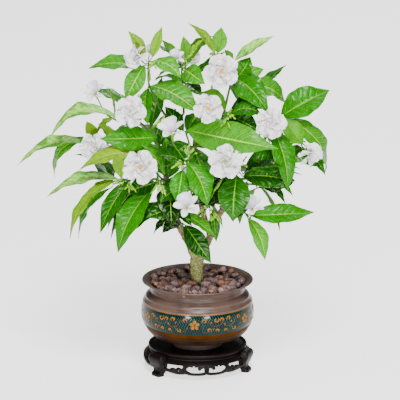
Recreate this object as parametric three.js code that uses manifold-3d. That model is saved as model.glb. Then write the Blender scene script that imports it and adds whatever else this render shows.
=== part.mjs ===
// Double-flowered crape jasmine in a clay pot on a carved, three-legged wooden stand.
// Millimetres, +Z up. The front faces -Y. The origin is the middle of the bounding box, at the floor.
import * as THREE from 'three';
import { mergeVertices } from 'three/addons/utils/BufferGeometryUtils.js';
import Module from 'manifold-3d';

const wasm = await Module();
wasm.setup();

// ---------------------------------------------------------------- driving dimensions
const GAP = 0.3;                        // between pieces that touch
const SIGHT_TILT = 16 * Math.PI / 180;  // plant points are laid out along a line of sight this far down

const STAND_TOP = 38;                   // where the pot's foot ring rests
const BOARD_RADIUS = 79;
const BOARD_RIM_RISE = 2.5;
const BOARD_UNDERSIDE = 29;
const LEG_COUNT = 3;
const FIRST_LEG_ANGLE = -50;            // degrees from the front, towards +X
const APRON_PROFILE = [                 // radius and height of its outer face, which swells below the board
  [79.5, BOARD_UNDERSIDE - GAP], [86.5, 24.5], [87, 15.5], [82.5, 7.8],
];
const APRON_THICKNESS = 4.6;
const APRON_HALF_ANGLE = 55;

const POT_ROUND = 24;                   // facets round the pot
const SOIL_ROUND = 16;
const DRAIN_RADIUS = 6;
const POT_OUTSIDE = [                   // radius, height above the foot
  [33, 0], [41, 0], [41, 8], [70.6, 17.5], [82, 29], [88.6, 43], [90, 55], [88.2, 71], [82, 84], [75, 89.5],
  [73.4, 95], [78, 102], [89, 106.2], [89, 108.5],
];
const POT_INSIDE = [
  [86, 108.5], [74.5, 101.6], [69.6, 95], [72, 87.5], [84, 70], [84.6, 52], [75, 29], [58, 17],
  [DRAIN_RADIUS, 9], [DRAIN_RADIUS, 4], [33, 4],
];
const SOIL_TOP = 89.6;
const BED_TOP = 97;
const BED_RADIUS = 73.4;
const TRUNK_HOLE = 11;
const TRUNK_ROOT = 60;                  // height of the trunk's foot above the pot's foot
const STONE_RINGS = [[21, 6], [39, 10], [57, 14]];
const STONE_RADIUS = 11;

const STEM_RADIUS = 1.9;
const STALK_RADIUS = 1.1;
const TWIG_RADIUS = 2.6;
const PETIOLE_RADIUS = 1.1;
const ROOT_DEPTH = 1.4;                 // how far a petiole, bud or stalk passes its stem's middle line
const RIB_THICKNESS = 1.5;
const CLEARANCE = 0.7;                  // kept between a leaf and every piece of another shoot
const WELD = 1e-3;                      // points nearer than this are one

// ---------------------------------------------------------------- ways a blade or a flower faces
// Right, towards the front, up.
const LEANING = [0, 0.2, 1];
const TIPPED = [0, 0.45, 0.9];
const HALF = [0, 0.75, 0.65];
const FRONT = [0, 1, 0.35];
const UNDERSIDE = [0, -0.8, 0.6];
const LEFTWARD = [-0.8, 0.4, 0.45];
const LEFT_FRONT = [-0.45, 0.8, 0.4];
const RIGHT_FRONT = [0.45, 0.8, 0.4];
const RIGHTWARD = [0.8, 0.4, 0.45];
const EDGEWISE = [1, 0.2, 0.1];

// ---------------------------------------------------------------- the plant's layout
// Every point is [across, rise, front]: from the pot's axis to the right, up from the floor as seen along
// the line of sight, and in front of the axis.
const LIMBS = [                         // points with a radius each
  { points: [[0, 94.5, 0], [0, 130, 0], [-1, 152, 0], [-1, 172, 0], [-0.5, 184, 0]], radii: [9.6, 9.6, 9.8, 11.2, 9] },
  {
    points: [[-3, 174, 0], [-13, 197, 4], [-25, 218, 10], [-38, 245, 14], [-50, 285, 18], [-48, 330, 16], [-38, 380, 12]],
    radii: [8.2, 7, 6.2, 5.4, 4.8, 4.2, 3.4],
  },
  {
    points: [[1, 176, 0], [12, 192, 0], [19, 206, -1], [27, 232, -3], [46, 262, -5], [54, 300, -6], [48, 345, -6],
      [36, 390, -4]],
    radii: [8, 6.6, 5.8, 5.4, 5, 4.6, 4.2, 3.4],
  },
  { points: [[20, 210, -1], [8, 250, -26], [0, 300, -44], [-4, 350, -50], [-2, 400, -44]], radii: [5.4, 4.8, 4.4, 4, 3.2] },
];

// A shoot's leaves are [base, tip, width, facing, arch], and so are the shaded ones in its inner list, which give
// way to them; its flowers are [kind, centre, facing, size]; its buds are the places of clusters; its fill is
// [pairs, shortest, longest] of opposite leaves along the path.
const DOUBLE = 'double';
const STAR = 'star';
const SHOOTS = [
  { path: [[-62, 318, 40], [-100, 342, 52], [-140, 352, 60], [-168, 356, 64]],
    leaves: [
      [[-170, 355, 64], [-285, 322, 48], 38, LEANING, 18],
      [[-172, 366, 58], [-227, 302, 66], 28, LEFTWARD, 22],
      [[-164, 354, 62], [-176, 391, 80], 20, UNDERSIDE, 6],
      [[-128, 352, 56], [-158, 388, 66], 18, UNDERSIDE, 8],
    ],
    flowers: [[DOUBLE, [-164, 350, 96], [-0.2, 0.95, 0.25], 0.88]] },
  { path: [[-50, 290, 50], [-80, 296, 75], [-105, 299, 92], [-122, 299, 100]],
    leaves: [
      [[-124, 299, 102], [-239, 271, 90], 40, LEANING, 14],
      [[-120, 301, 104], [-129, 342, 112], 20, UNDERSIDE, 5],
      [[-132, 300, 98], [-180, 252, 106], 28, LEFTWARD, 10],
      [[-126, 298, 104], [-202, 203, 112], 34, LEFTWARD, 22],
      [[-106, 298, 98], [-154, 214, 128], 32, LEFT_FRONT, 10],
    ],
    buds: [[-129, 292, 112], [-108, 288, 112]] },
  { path: [[-45, 335, 60], [-66, 358, 86], [-95, 380, 96], [-120, 394, 98]],
    leaves: [
      [[-122, 394, 98], [-234, 363, 96], 40, LEANING, 30],
      [[-64, 366, 96], [-154, 363, 122], 44, HALF, 6],
    ],
    inner: [
      [[-58, 350, 72], [-124, 322, 64], 42, HALF, 8],
      [[-60, 354, 74], [-34, 412, 62], 36, FRONT, 8],
    ],
    flowers: [[DOUBLE, [-106, 406, 128], [0.1, 0.95, 0.3], 0.96]],
    buds: [[-58, 390, 104]] },
  { path: [[-40, 290, 60], [-56, 300, 88], [-68, 314, 104], [-76, 332, 110]],
    leaves: [
      [[-77, 336, 112], [-188, 313, 122], 38, TIPPED, 22],
      [[-52, 308, 114], [-89, 355, 128], 22, TIPPED, 5],
      [[-70, 286, 110], [-126, 183, 130], 44, LEFT_FRONT, 14],
      [[-50, 262, 96], [-109, 211, 124], 32, TIPPED, 12],
      [[-66, 294, 108], [-112, 278, 96], 36, HALF, 6],
      [[-78, 284, 90], [-138, 204, 100], 32, LEFTWARD, 12],
    ],
    inner: [
      [[-46, 302, 68], [-50, 366, 56], 44, FRONT, 6],
      [[-42, 286, 70], [-40, 222, 66], 46, FRONT, 8],
    ],
    flowers: [[DOUBLE, [-90, 319, 152], [-0.1, 0.97, 0.2], 1.05]],
    buds: [[-64, 284, 124]] },
  { path: [[-40, 385, 34], [-60, 415, 50], [-76, 447, 64], [-78, 470, 66], [-77, 486, 62]],
    leaves: [
      [[-74, 447, 68], [2, 403, 118], 52, TIPPED, 12],
      [[-78, 444, 72], [-78, 385, 108], 27, LEFT_FRONT, 6],
      [[-84, 490, 60], [-110, 534, 50], 20, UNDERSIDE, 4],
      [[-72, 492, 60], [-56, 541, 54], 18, UNDERSIDE, 4],
      [[-86, 476, 64], [-173, 475, 52], 36, TIPPED, 10],
      [[-84, 480, 66], [-114, 422, 84], 32, FRONT, 4],
      [[-79, 480, 72], [-79, 443, 88], 16, EDGEWISE, 3],
      [[-72, 486, 66], [-26, 459, 84], 34, TIPPED, 10],
    ],
    flowers: [[DOUBLE, [-96, 492, 74], [-0.6, 0.5, 0.6], 0.8], [STAR, [-76, 500, 34], [0.1, 0.6, 0.8], 0.5]],
    buds: [[-68, 480, 84]] },
  { path: [[-75, 362, 16], [-110, 385, 28], [-138, 398, 34], [-150, 408, 38]],
    leaves: [
      [[-134, 396, 36], [-160, 372, 60], 20, UNDERSIDE, 4],
      [[-132, 398, 36], [-143, 446, 44], 14, EDGEWISE, 3],
    ],
    flowers: [[STAR, [-162, 434, 48], [-0.25, 0.7, 0.7], 0.85]] },
  { path: [[-22, 405, 8], [-23, 440, 18], [-25, 470, 26], [-24, 486, 30]],
    leaves: [
      [[-30, 489, 30], [-57, 521, 26], 18, UNDERSIDE, 3],
      [[-18, 490, 30], [-23, 527, 24], 18, UNDERSIDE, 3],
      [[-14, 492, 28], [10, 522, 20], 12, TIPPED, 3],
      [[-20, 474, 32], [12, 450, 70], 34, FRONT, 6],
      [[-18, 452, 28], [8, 430, 60], 24, TIPPED, 4],
    ],
    flowers: [[STAR, [-34, 490, 58], [0.1, 0.8, 0.6], 0.62]],
    buds: [[-12, 492, 44]] },
  { path: [[18, 412, 10], [22, 440, 18], [28, 475, 26], [31, 496, 30]],
    leaves: [
      [[28, 498, 30], [-15, 547, 20], 18, UNDERSIDE, 6],
      [[32, 500, 30], [38, 541, 24], 26, UNDERSIDE, 3],
    ],
    flowers: [[DOUBLE, [38, 470, 84], [0, 0.97, 0.25], 1.05]],
    buds: [[26, 502, 48]] },
  { path: [[42, 405, 0], [50, 440, 10], [57, 470, 20], [58, 486, 24]],
    leaves: [
      [[56, 488, 24], [43, 505, 30], 12, UNDERSIDE, 2],
      [[59, 488, 24], [122, 527, 10], 22, TIPPED, 6],
      [[64, 462, 22], [84, 494, 12], 30, FRONT, 2],
      [[64, 458, 18], [106, 475, 4], 24, FRONT, 3],
      [[59, 459, 40], [113, 404, 98], 46, HALF, 16],
      [[78, 450, 6], [140, 420, -4], 40, RIGHTWARD, 16],
    ] },
  { path: [[22, 370, 58], [34, 390, 84], [44, 402, 97]],
    leaves: [
      [[45, 405, 98], [-2, 433, 102], 26, UNDERSIDE, 20],
      [[52, 402, 98], [102, 400, 106], 34, TIPPED, 12],
      [[54, 398, 84], [98, 376, 96], 34, FRONT, 4],
      [[50, 404, 78], [104, 410, 60], 34, TIPPED, 14],
    ],
    inner: [
      [[30, 382, 72], [6, 352, 60], 34, FRONT, 6],
      [[34, 388, 76], [88, 360, 62], 36, HALF, 8],
    ],
    flowers: [[DOUBLE, [17, 411, 138], [0, 0.97, 0.25], 0.9]],
    buds: [[50, 402, 114], [46, 388, 122]] },
  { path: [[64, 335, 20], [94, 366, 44], [120, 387, 60], [132, 396, 66]],
    leaves: [
      [[132, 399, 66], [210, 441, 40], 52, HALF, 10],
      [[140, 397, 62], [202, 307, 54], 50, RIGHTWARD, 28],
      [[136, 396, 72], [167, 354, 86], 34, [-0.5, -0.5, 0.6], 8],
      [[116, 384, 84], [143, 281, 112], 40, RIGHT_FRONT, 14],
    ],
    flowers: [[DOUBLE, [116, 388, 116], [0, 0.98, 0.2], 0.95]],
    buds: [[106, 358, 104]] },
  { path: [[70, 318, 14], [110, 338, 36], [145, 355, 52], [165, 360, 60]],
    leaves: [
      [[128, 342, 44], [199, 318, 52], 40, TIPPED, 8],
      [[172, 352, 64], [203, 306, 70], 20, TIPPED, 6],
    ],
    flowers: [[DOUBLE, [177, 340, 94], [0.5, 0.75, -0.35], 0.85]],
    buds: [[170, 366, 78]] },
  { path: [[-12, 290, 66], [-14, 308, 100], [-17, 326, 126]],
    leaves: [
      [[-16, 326, 130], [15, 257, 152], 44, RIGHT_FRONT, 8],
      [[-24, 314, 124], [-33, 262, 142], 34, FRONT, 4],
      [[-20, 322, 124], [-66, 336, 118], 32, TIPPED, 8],
    ],
    inner: [[[-12, 300, 78], [-62, 262, 66], 40, HALF, 6]],
    flowers: [[STAR, [-40, 371, 152], [-0.1, 0.5, 0.85], 1]],
    buds: [[-35, 320, 146], [-12, 352, 140]] },
  { path: [[-8, 330, 46], [-12, 352, 70], [-19, 375, 88]],
    leaves: [
      [[-17, 377, 92], [127, 347, 150], 60, HALF, 8],
      [[-22, 376, 86], [-52, 415, 80], 28, TIPPED, 4],
      [[-16, 372, 82], [10, 405, 66], 30, TIPPED, 8],
      [[-8, 352, 70], [50, 345, 108], 34, UNDERSIDE, 6],
    ],
    inner: [
      [[-14, 356, 74], [-52, 320, 62], 38, HALF, 6],
      [[-6, 350, 70], [16, 300, 66], 36, FRONT, 6],
    ] },
  { path: [[22, 302, 56], [42, 312, 84], [62, 315, 104], [72, 318, 110]],
    leaves: [
      [[62, 306, 116], [56, 232, 142], 52, FRONT, 8],
      [[72, 308, 108], [137, 318, 122], 36, LEANING, 8],
      [[76, 320, 106], [142, 324, 96], 46, HALF, 10],
      [[72, 304, 100], [142, 298, 86], 44, HALF, 6],
    ],
    inner: [
      [[34, 304, 74], [14, 256, 66], 36, FRONT, 6],
      [[40, 306, 80], [70, 262, 70], 36, FRONT, 6],
    ],
    flowers: [[DOUBLE, [44, 327, 158], [0, 0.97, 0.25], 1.05]],
    buds: [[72, 325, 132], [36, 287, 132]] },
  { path: [[-22, 262, 44], [-30, 262, 74], [-38, 257, 102]],
    leaves: [
      [[-36, 256, 108], [-9, 225, 122], 22, TIPPED, 3],
      [[-24, 246, 100], [29, 207, 130], 24, TIPPED, 6],
      [[-40, 254, 100], [-82, 238, 106], 38, HALF, 6],
      [[-34, 250, 94], [-70, 212, 100], 22, LEANING, 5],
    ],
    flowers: [[STAR, [-17, 254, 156], [0, 0.8, 0.6], 0.95]],
    buds: [[-42, 250, 116]] },
  { path: [[-26, 222, 24], [-27, 230, 44], [-22, 228, 64]],
    leaves: [
      [[-20, 227, 66], [22, 166, 92], 34, FRONT, 5],
      [[-28, 230, 56], [-56, 214, 84], 24, TIPPED, 4],
    ] },
  { path: [[28, 262, 26], [22, 262, 56], [18, 256, 84]],
    leaves: [
      [[20, 258, 86], [46, 277, 92], 26, TIPPED, 4],
      [[14, 252, 88], [2, 230, 92], 26, LEANING, 4],
      [[24, 250, 84], [30, 200, 96], 18, FRONT, 3],
      [[16, 258, 78], [-22, 270, 72], 28, TIPPED, 4],
    ],
    buds: [[12, 252, 102], [30, 236, 98]] },
  { path: [[36, 256, 24], [54, 254, 54], [68, 248, 76], [76, 246, 86]],
    leaves: [
      [[84, 242, 88], [186, 247, 70], 36, HALF, 6],
      [[80, 238, 90], [107, 171, 96], 28, RIGHT_FRONT, 8],
    ],
    flowers: [[STAR, [86, 251, 122], [0.1, 0.6, 0.8], 0.85]] },
  { path: [[56, 288, 18], [76, 292, 38], [94, 291, 52]],
    leaves: [
      [[98, 289, 54], [152, 273, 60], 30, LEANING, 14],
      [[95, 286, 56], [140, 260, 66], 26, LEANING, 12],
      [[96, 292, 50], [156, 298, 30], 38, HALF, 8],
    ],
    inner: [[[70, 292, 36], [60, 236, 40], 40, FRONT, 6]] },
  { path: [[-60, 362, -40], [-86, 386, -80], [-100, 398, -116]], fill: [3, 90, 118],
    flowers: [[DOUBLE, [-96, 412, -150], [-0.2, -0.9, 0.4], 1]] },
  { path: [[-66, 300, -40], [-106, 300, -72], [-136, 292, -100]], fill: [3, 90, 112] },
  { path: [[-12, 430, -40], [-16, 464, -62], [-20, 480, -84]], fill: [3, 66, 84],
    flowers: [[DOUBLE, [-20, 494, -112], [0, -0.8, 0.6], 0.95]] },
  { path: [[44, 392, -40], [70, 410, -84], [84, 418, -120]], fill: [3, 90, 115],
    flowers: [[STAR, [92, 426, -150], [0.2, -0.8, 0.6], 0.9]] },
  { path: [[64, 300, -30], [90, 300, -68], [102, 292, -102]], fill: [3, 78, 98] },
  { path: [[-4, 290, -70], [-10, 286, -118], [-10, 274, -150]], fill: [3, 82, 100],
    flowers: [[STAR, [-10, 300, -176], [0, -0.95, 0.3], 1]] },
];

// Moves of a leaf's tip [across, rise, towards the eye, arch], tried in this order until it is clear.
const NUDGES = [[0, 0, 0], [0, 0, 8], [0, 0, -8], [0, 14, 0], [0, -14, 0], [14, 0, 0], [-14, 0, 0]];
const DEPTHS = [0, 14, -14, 28, -28, 42, -42, 58, -58, 75, -75];
const BENDS = NUDGES.flatMap(([across, rise, arch]) => DEPTHS.map((depth) => [across, rise, depth, arch]));

// ---------------------------------------------------------------- points, directions, repeatable draws
const seen = ([across, rise, front]) => new THREE.Vector3(
  across, -front, (rise + front * Math.sin(SIGHT_TILT)) / Math.cos(SIGHT_TILT));
const heading = ([right, front, up]) => new THREE.Vector3(right, -front, up).normalize();
const SIGHT = new THREE.Vector3(0, -Math.cos(SIGHT_TILT), Math.sin(SIGHT_TILT));
const SIGHT_UP = new THREE.Vector3(0, Math.sin(SIGHT_TILT), Math.cos(SIGHT_TILT));
const along = (from, direction, distance) => from.clone().addScaledVector(direction, distance);

function draw(low, high, index, number) {
  let state = (index * 1009 + number * 9176 + 37) % 65536;
  for (let k = 0; k < 3; k += 1) state = (state * 25173 + 13849) % 65536;
  return low + (high - low) * state / 65536;
}

// A smooth line through the points, with `steps` stretches between each two.
function smooth(points, steps) {
  return new THREE.CatmullRomCurve3(points, false, 'catmullrom', 0.5).getPoints(steps * (points.length - 1));
}

// The same straight stretches, each in ten steps.
function dense(line) {
  return line.slice(1).flatMap((end, k) => (
    Array.from({ length: 10 }, (_, j) => line[k].clone().lerp(end, j / 10)))).concat(line.slice(-1));
}

// The point of a stem's line, short of its very end, that is nearest a point.
function nearest(line, point) {
  return line.slice(0, -1).reduce((best, other) => (other.distanceTo(point) < best.distanceTo(point) ? other : best));
}

// A direction square to `axis`, as near `hint` as can be.
function squareTo(axis, hint) {
  const side = along(hint, axis, -hint.dot(axis));
  return side.lengthSq() > 0.01 ? side.normalize() : squareTo(axis, new THREE.Vector3(hint.y, hint.z, hint.x));
}

// ---------------------------------------------------------------- solids
function solid(geometry) {
  const bare = new THREE.BufferGeometry().setAttribute('position', geometry.getAttribute('position'));
  if (geometry.index) bare.setIndex(geometry.index);
  const merged = mergeVertices(bare, WELD);
  const place = merged.getAttribute('position');
  const index = merged.index.array;
  const corners = [];
  let volume = 0;
  const [a, b, c] = [new THREE.Vector3(), new THREE.Vector3(), new THREE.Vector3()];
  for (let k = 0; k < index.length; k += 3) {
    const [i, j, m] = [index[k], index[k + 1], index[k + 2]];
    if (i === j || j === m || i === m) continue;
    corners.push(i, j, m);
    volume += a.fromBufferAttribute(place, i).dot(
      b.fromBufferAttribute(place, j).cross(c.fromBufferAttribute(place, m)));
  }
  if (volume < 0) corners.reverse();
  return new wasm.Manifold(new wasm.Mesh({
    numProp: 3, vertProperties: new Float32Array(place.array), triVerts: new Uint32Array(corners),
  }));
}

function geometryOf(shape) {
  const mesh = shape.getMesh();
  const geometry = new THREE.BufferGeometry();
  geometry.setAttribute('position', new THREE.BufferAttribute(new Float32Array(mesh.vertProperties), 3));
  geometry.setIndex(new THREE.BufferAttribute(new Uint32Array(mesh.triVerts), 1));
  geometry.computeVertexNormals();
  return geometry;
}

// A solid without loose scraps or sealed hollows.
function largest(shape) {
  return shape.decompose().reduce((best, body) => (body.volume() > best.volume() ? body : best));
}

const fuse = (shapes) => largest(shapes.reduce((sum, shape) => sum.add(shape)));

function turned(profile, segments) {
  const points = profile.map(([radius, height]) => new THREE.Vector2(radius, height));
  const geometry = new THREE.LatheGeometry(points, segments);
  geometry.rotateX(Math.PI / 2);
  return solid(geometry);
}

// A closed skin over rings of equal count, each end flat or drawn to a point. Alternate facets are split the
// other way, so that the two faces of a thin blade are split alike.
function loft(rings, tip = null, root = null) {
  const points = rings.flat();
  const count = rings[0].length;
  const last = (rings.length - 1) * count;
  const faces = [];
  for (let k = 0; k < last; k += count) {
    for (let j = 0; j < count; j += 1) {
      const [a, b] = [k + j, k + (j + 1) % count];
      const [d, c] = [a + count, b + count];
      faces.push(...(j % 2 ? [a, b, c, a, c, d] : [a, b, d, b, c, d]));
    }
  }
  for (let j = 1; j + 1 < count; j += 1) {
    if (!root) faces.push(0, j + 1, j);
    if (!tip) faces.push(last, last + j, last + j + 1);
  }
  if (tip) {
    points.push(tip);
    for (let j = 0; j < count; j += 1) faces.push(last + j, last + (j + 1) % count, points.length - 1);
  }
  if (root) {
    points.push(root);
    for (let j = 0; j < count; j += 1) faces.push((j + 1) % count, j, points.length - 1);
  }
  const geometry = new THREE.BufferGeometry().setFromPoints(points);
  geometry.setIndex(faces);
  return solid(geometry);
}

// A round stem along a line, its first ring square to `lead`.
function rod(line, radii, sides, lead = null) {
  let hint = new THREE.Vector3(0.31, 0.2, 0.93);
  const rings = line.map((point, k) => {
    const before = line[Math.max(k - 1, 0)];
    const after = line[Math.min(k + 1, line.length - 1)];
    const axis = k === 0 && lead ? lead : after.clone().sub(before).normalize();
    const side = squareTo(axis, hint);
    hint = side;
    const other = axis.clone().cross(side);
    const radius = radii[Math.min(k, radii.length - 1)];
    return Array.from({ length: sides }, (_, j) => {
      const turn = 2 * Math.PI * j / sides;
      return along(along(point, side, radius * Math.cos(turn)), other, radius * Math.sin(turn));
    });
  });
  return loft(rings);
}

// ---------------------------------------------------------------- stand
function boardProfile() {
  const [top, low, out] = [STAND_TOP - GAP, BOARD_UNDERSIDE, BOARD_RADIUS];
  return [
    [0, low], [out - 3.6, low], [out - 1.6, low + 1.2], [out - 1.4, low + 3], [out - 3, low + 4.6],
    [out - 2.6, low + 6], [out - 0.6, low + 7], [out, low + 9], [out - 0.8, STAND_TOP + 1.4],
    [out - 3, STAND_TOP + BOARD_RIM_RISE], [out - 5, STAND_TOP + 1.6], [out - 5.6, top], [0, top],
  ];
}

// Radius from the stand's axis, height, half depth, half width.
const LEG_SECTIONS = [
  [79.2, 37, 5.3, 9], [81.6, 34.5, 7.8, 12], [82.7, 29, 8.8, 15], [82.3, 23, 8.4, 13.6], [80.5, 16.5, 6.7, 9.4],
  [78.6, 11, 5.2, 7], [79.5, 7, 5, 7], [83, 4.4, 6.2, 8.4], [83.6, 0, 6.2, 8.4],
];
const LEG_CORNERS = [[1, 0.5], [0.2, 1], [-1, 0.8], [-1, -0.8], [0.2, -1], [1, -0.5]];
const legAngle = (k) => FIRST_LEG_ANGLE + k * 360 / LEG_COUNT;

// A leg before the board is cut out of it, grown sideways by `spare`.
function legBlank(degrees, spare = 0) {
  const turn = degrees * Math.PI / 180;
  const out = new THREE.Vector3(Math.sin(turn), -Math.cos(turn), 0);
  const side = new THREE.Vector3(Math.cos(turn), Math.sin(turn), 0);
  const rings = LEG_SECTIONS.map(([radius, height, depth, width]) => LEG_CORNERS.map(([d, w]) => (
    along(along(new THREE.Vector3(0, 0, height), out, radius + d * (depth + spare)), side, w * (width + spare)))));
  return loft(rings);
}

// A cutter along a radius of the stand: an oval, `width` round the ring and `height` tall.
function ovalCutter(degrees, height, halfWidth, halfHeight) {
  const shape = new THREE.Shape();
  shape.absellipse(0, 0, halfWidth, halfHeight, 0, 2 * Math.PI);
  const geometry = new THREE.ExtrudeGeometry(shape, { depth: 40, bevelEnabled: false, curveSegments: 4 });
  geometry.rotateX(Math.PI / 2);
  geometry.translate(0, -BOARD_RADIUS + 20, height);
  geometry.rotateZ(degrees * Math.PI / 180);
  return solid(geometry);
}

// Turn from the apron's middle, height, half width and half height of its pierced openings and edge bays.
const APRON_OPENINGS = [[11.6, 19.2, 11.4, 6.8], [36, 22.8, 16.5, 4.4]];
const APRON_BAYS = [[0, 7.4, 3.4, 3], [24.5, 7, 5, 3.2], [40, 6.6, 13, 5]];

function apron(degrees, cutters) {
  const inside = APRON_PROFILE.map(([radius, height]) => [radius - APRON_THICKNESS, height]);
  const section = [...APRON_PROFILE, ...inside.reverse()];
  const span = 2 * APRON_HALF_ANGLE * Math.PI / 180;
  const steps = 7;
  const rings = Array.from({ length: steps + 1 }, (_, k) => {
    const turn = (degrees - APRON_HALF_ANGLE) * Math.PI / 180 + span * k / steps;
    return section.map(([radius, height]) => (
      new THREE.Vector3(radius * Math.sin(turn), -radius * Math.cos(turn), height)));
  });
  let panel = loft(rings);
  for (const [turn, height, width, tall] of [...APRON_OPENINGS, ...APRON_BAYS]) {
    for (const side of turn ? [1, -1] : [1]) {
      panel = panel.subtract(ovalCutter(degrees + side * turn, height, width, tall));
    }
  }
  return fuse([cutters.reduce((rest, cutter) => rest.subtract(cutter), panel)]);
}

// ---------------------------------------------------------------- pot, soil and pebbles
const raise = (profile, height) => profile.map(([radius, level]) => [radius, level + height]);

function potSolid() {
  const loop = [...POT_OUTSIDE, ...POT_INSIDE];
  return turned(raise([...loop, loop[0]], STAND_TOP), POT_ROUND);
}

function soilSolid() {
  const wall = POT_INSIDE.filter(([, height]) => height < SOIL_TOP && height > 9).reverse()
    .map(([radius, height]) => [radius - 1.4, height + GAP]);
  const profile = [
    [0, 9 + GAP], [DRAIN_RADIUS, 9 + GAP], ...wall, [68, SOIL_TOP], [TRUNK_HOLE, SOIL_TOP],
    [TRUNK_HOLE, TRUNK_ROOT - GAP], [0, TRUNK_ROOT - GAP],
  ];
  return turned(raise(profile, STAND_TOP), SOIL_ROUND);
}

function stone(x, y, z, radius, index) {
  const geometry = new THREE.OctahedronGeometry(radius, 0);
  const stretch = ['a', 'b', 'c'].map((_, k) => draw(0.8, 1.15, index, k));
  geometry.scale(stretch[0], stretch[1], stretch[2] * 0.85);
  geometry.rotateX(draw(0, 3, index, 4));
  geometry.rotateZ(draw(0, 6, index, 5));
  geometry.translate(x, y, z);
  return solid(geometry);
}

function pebblesSolid() {
  const low = SOIL_TOP + GAP;
  const bed = [[TRUNK_HOLE, low], [68.6, low], [68.4, 95], [BED_RADIUS - 1.8, BED_TOP], [TRUNK_HOLE, BED_TOP],
    [TRUNK_HOLE, low]];
  const stones = STONE_RINGS.flatMap(([ring, count], row) => Array.from({ length: count }, (_, k) => {
    const index = row * 40 + k;
    const turn = 2 * Math.PI * (k + draw(-0.2, 0.2, index, 6)) / count + row;
    const place = ring + draw(-1.5, 1.5, index, 7);
    const height = STAND_TOP + BED_TOP + draw(-1, 1.6, index, 8);
    return stone(place * Math.cos(turn), place * Math.sin(turn), height, STONE_RADIUS, index);
  }));
  const room = turned(raise([[TRUNK_HOLE, low], [68.6, low], [68.4, 95], [BED_RADIUS, 99], [BED_RADIUS, 112],
    [TRUNK_HOLE, 112], [TRUNK_HOLE, low]], STAND_TOP), POT_ROUND);
  return fuse([turned(raise(bed, STAND_TOP), POT_ROUND), ...stones]).intersect(room);
}

// ---------------------------------------------------------------- leaves
const LONG_STATIONS = [0.17, 0.45, 0.78];
const SHORT_STATIONS = [0.3, 0.7];
const LONG_LEAF = 58;
const breadth = (s) => Math.sin(Math.PI * s ** 0.9) ** 0.9 * (1 - 0.3 * s ** 4);

// A leaf's blade and petiole, grown all round by `spare`.
function leafSolids(leaf, line, spare = 0) {
  const { base, tip, width, facing, arch, index } = leaf;
  const chord = tip.clone().sub(base);
  const length = chord.length();
  const axis = chord.clone().normalize();
  const normal = squareTo(axis, facing);
  const side = axis.clone().cross(normal);
  const twist = draw(-0.35, 0.35, index, 1);
  const sweep = draw(-0.05, 0.05, index, 2) * length;
  const fold = draw(0.12, 0.3, index, 3);
  const phase = draw(0, 6.28, index, 4);

  const ring = (s) => {
    const turn = twist * (s - 0.3);
    const across = side.clone().multiplyScalar(Math.cos(turn)).addScaledVector(normal, Math.sin(turn));
    const up = normal.clone().multiplyScalar(Math.cos(turn)).addScaledVector(side, -Math.sin(turn));
    const bow = 4 * s * (1 - s);
    const middle = along(along(along(base, chord, s), normal, arch * bow), side, sweep * bow);
    const half = Math.max(width / 2 * breadth(s), PETIOLE_RADIUS);
    const thick = RIB_THICKNESS / 2 * (1 - 0.5 * s) + spare;
    const wave = (hand) => 0.05 * width * Math.sin(14.5 * s + phase + hand) * Math.sin(Math.PI * s);
    const edge = (hand) => along(along(middle, across, hand * (half + spare)), up, fold * half + wave(hand));
    return [edge(1), along(middle, up, thick), edge(-1), along(middle, up, -thick)];
  };

  // The petiole turns from the way it leaves the stem to the way the blade runs at a ring set between the two.
  const near = nearest(line, base);
  const leave = near.distanceTo(base) < 3 ? axis : base.clone().sub(near).normalize();
  const between = leave.clone().add(axis).normalize();
  const neckSide = squareTo(between, side);
  const neckUp = neckSide.clone().cross(between);
  const neck = [[1, 0], [0, 1], [-1, 0], [0, -1]].map(([w, u]) => (
    along(along(base, neckSide, w * (PETIOLE_RADIUS + spare)), neckUp, u * (PETIOLE_RADIUS + spare))));
  const rings = (length > LONG_LEAF ? LONG_STATIONS : SHORT_STATIONS).map(ring);
  return {
    whole: () => loft([neck, ...rings], along(tip, axis, spare), along(near, leave, -ROOT_DEPTH)),
    blade: () => loft(rings, along(tip, axis, spare)),
  };
}

function bent(leaf, [across, rise, depth, arch]) {
  const tip = along(along(leaf.tip, SIGHT, depth), SIGHT_UP, rise);
  tip.x += across;
  return { ...leaf, tip, arch: leaf.arch + arch };
}

// Opposite leaves in pairs along a shoot, each pair a quarter turn from the last.
function fillLeaves([pairs, shortest, longest], line, firstIndex) {
  const leaves = [];
  for (let k = 0; k < 2 * pairs; k += 1) {
    const index = firstIndex + k;
    const level = Math.floor(k / 2);
    const at = line.length - 1 - Math.round((line.length - 2) * 0.36 * level);
    const axis = line[at].clone().sub(line[at - 1]).normalize();
    const first = squareTo(axis, new THREE.Vector3(0, 0, 1));
    const turn = Math.PI * (k % 2) + Math.PI / 2 * level + draw(0.5, 1.1, index, 5);
    const out = first.clone().multiplyScalar(Math.cos(turn)).addScaledVector(axis.clone().cross(first), Math.sin(turn));
    const way = out.multiplyScalar(0.8).addScaledVector(axis, draw(0.5, 0.8, index, 6));
    way.z -= draw(0.1, 0.4, index, 7);
    way.normalize();
    const length = draw(shortest, longest, index, 8);
    leaves.push({
      base: along(line[at], way, 7), tip: along(line[at], way, length), width: length * draw(0.28, 0.36, index, 9),
      facing: new THREE.Vector3(way.x * 0.4, way.y * 0.4, 1), arch: length * draw(0.06, 0.14, index, 10), index,
    });
  }
  return leaves;
}

// ---------------------------------------------------------------- flowers and buds
const TUBE_LENGTH = 17;
const TUBE_RADIUS = 2.2;
const THROAT_WIDTH = 3.4;
const THROAT_RADIUS = 2.1;
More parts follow.
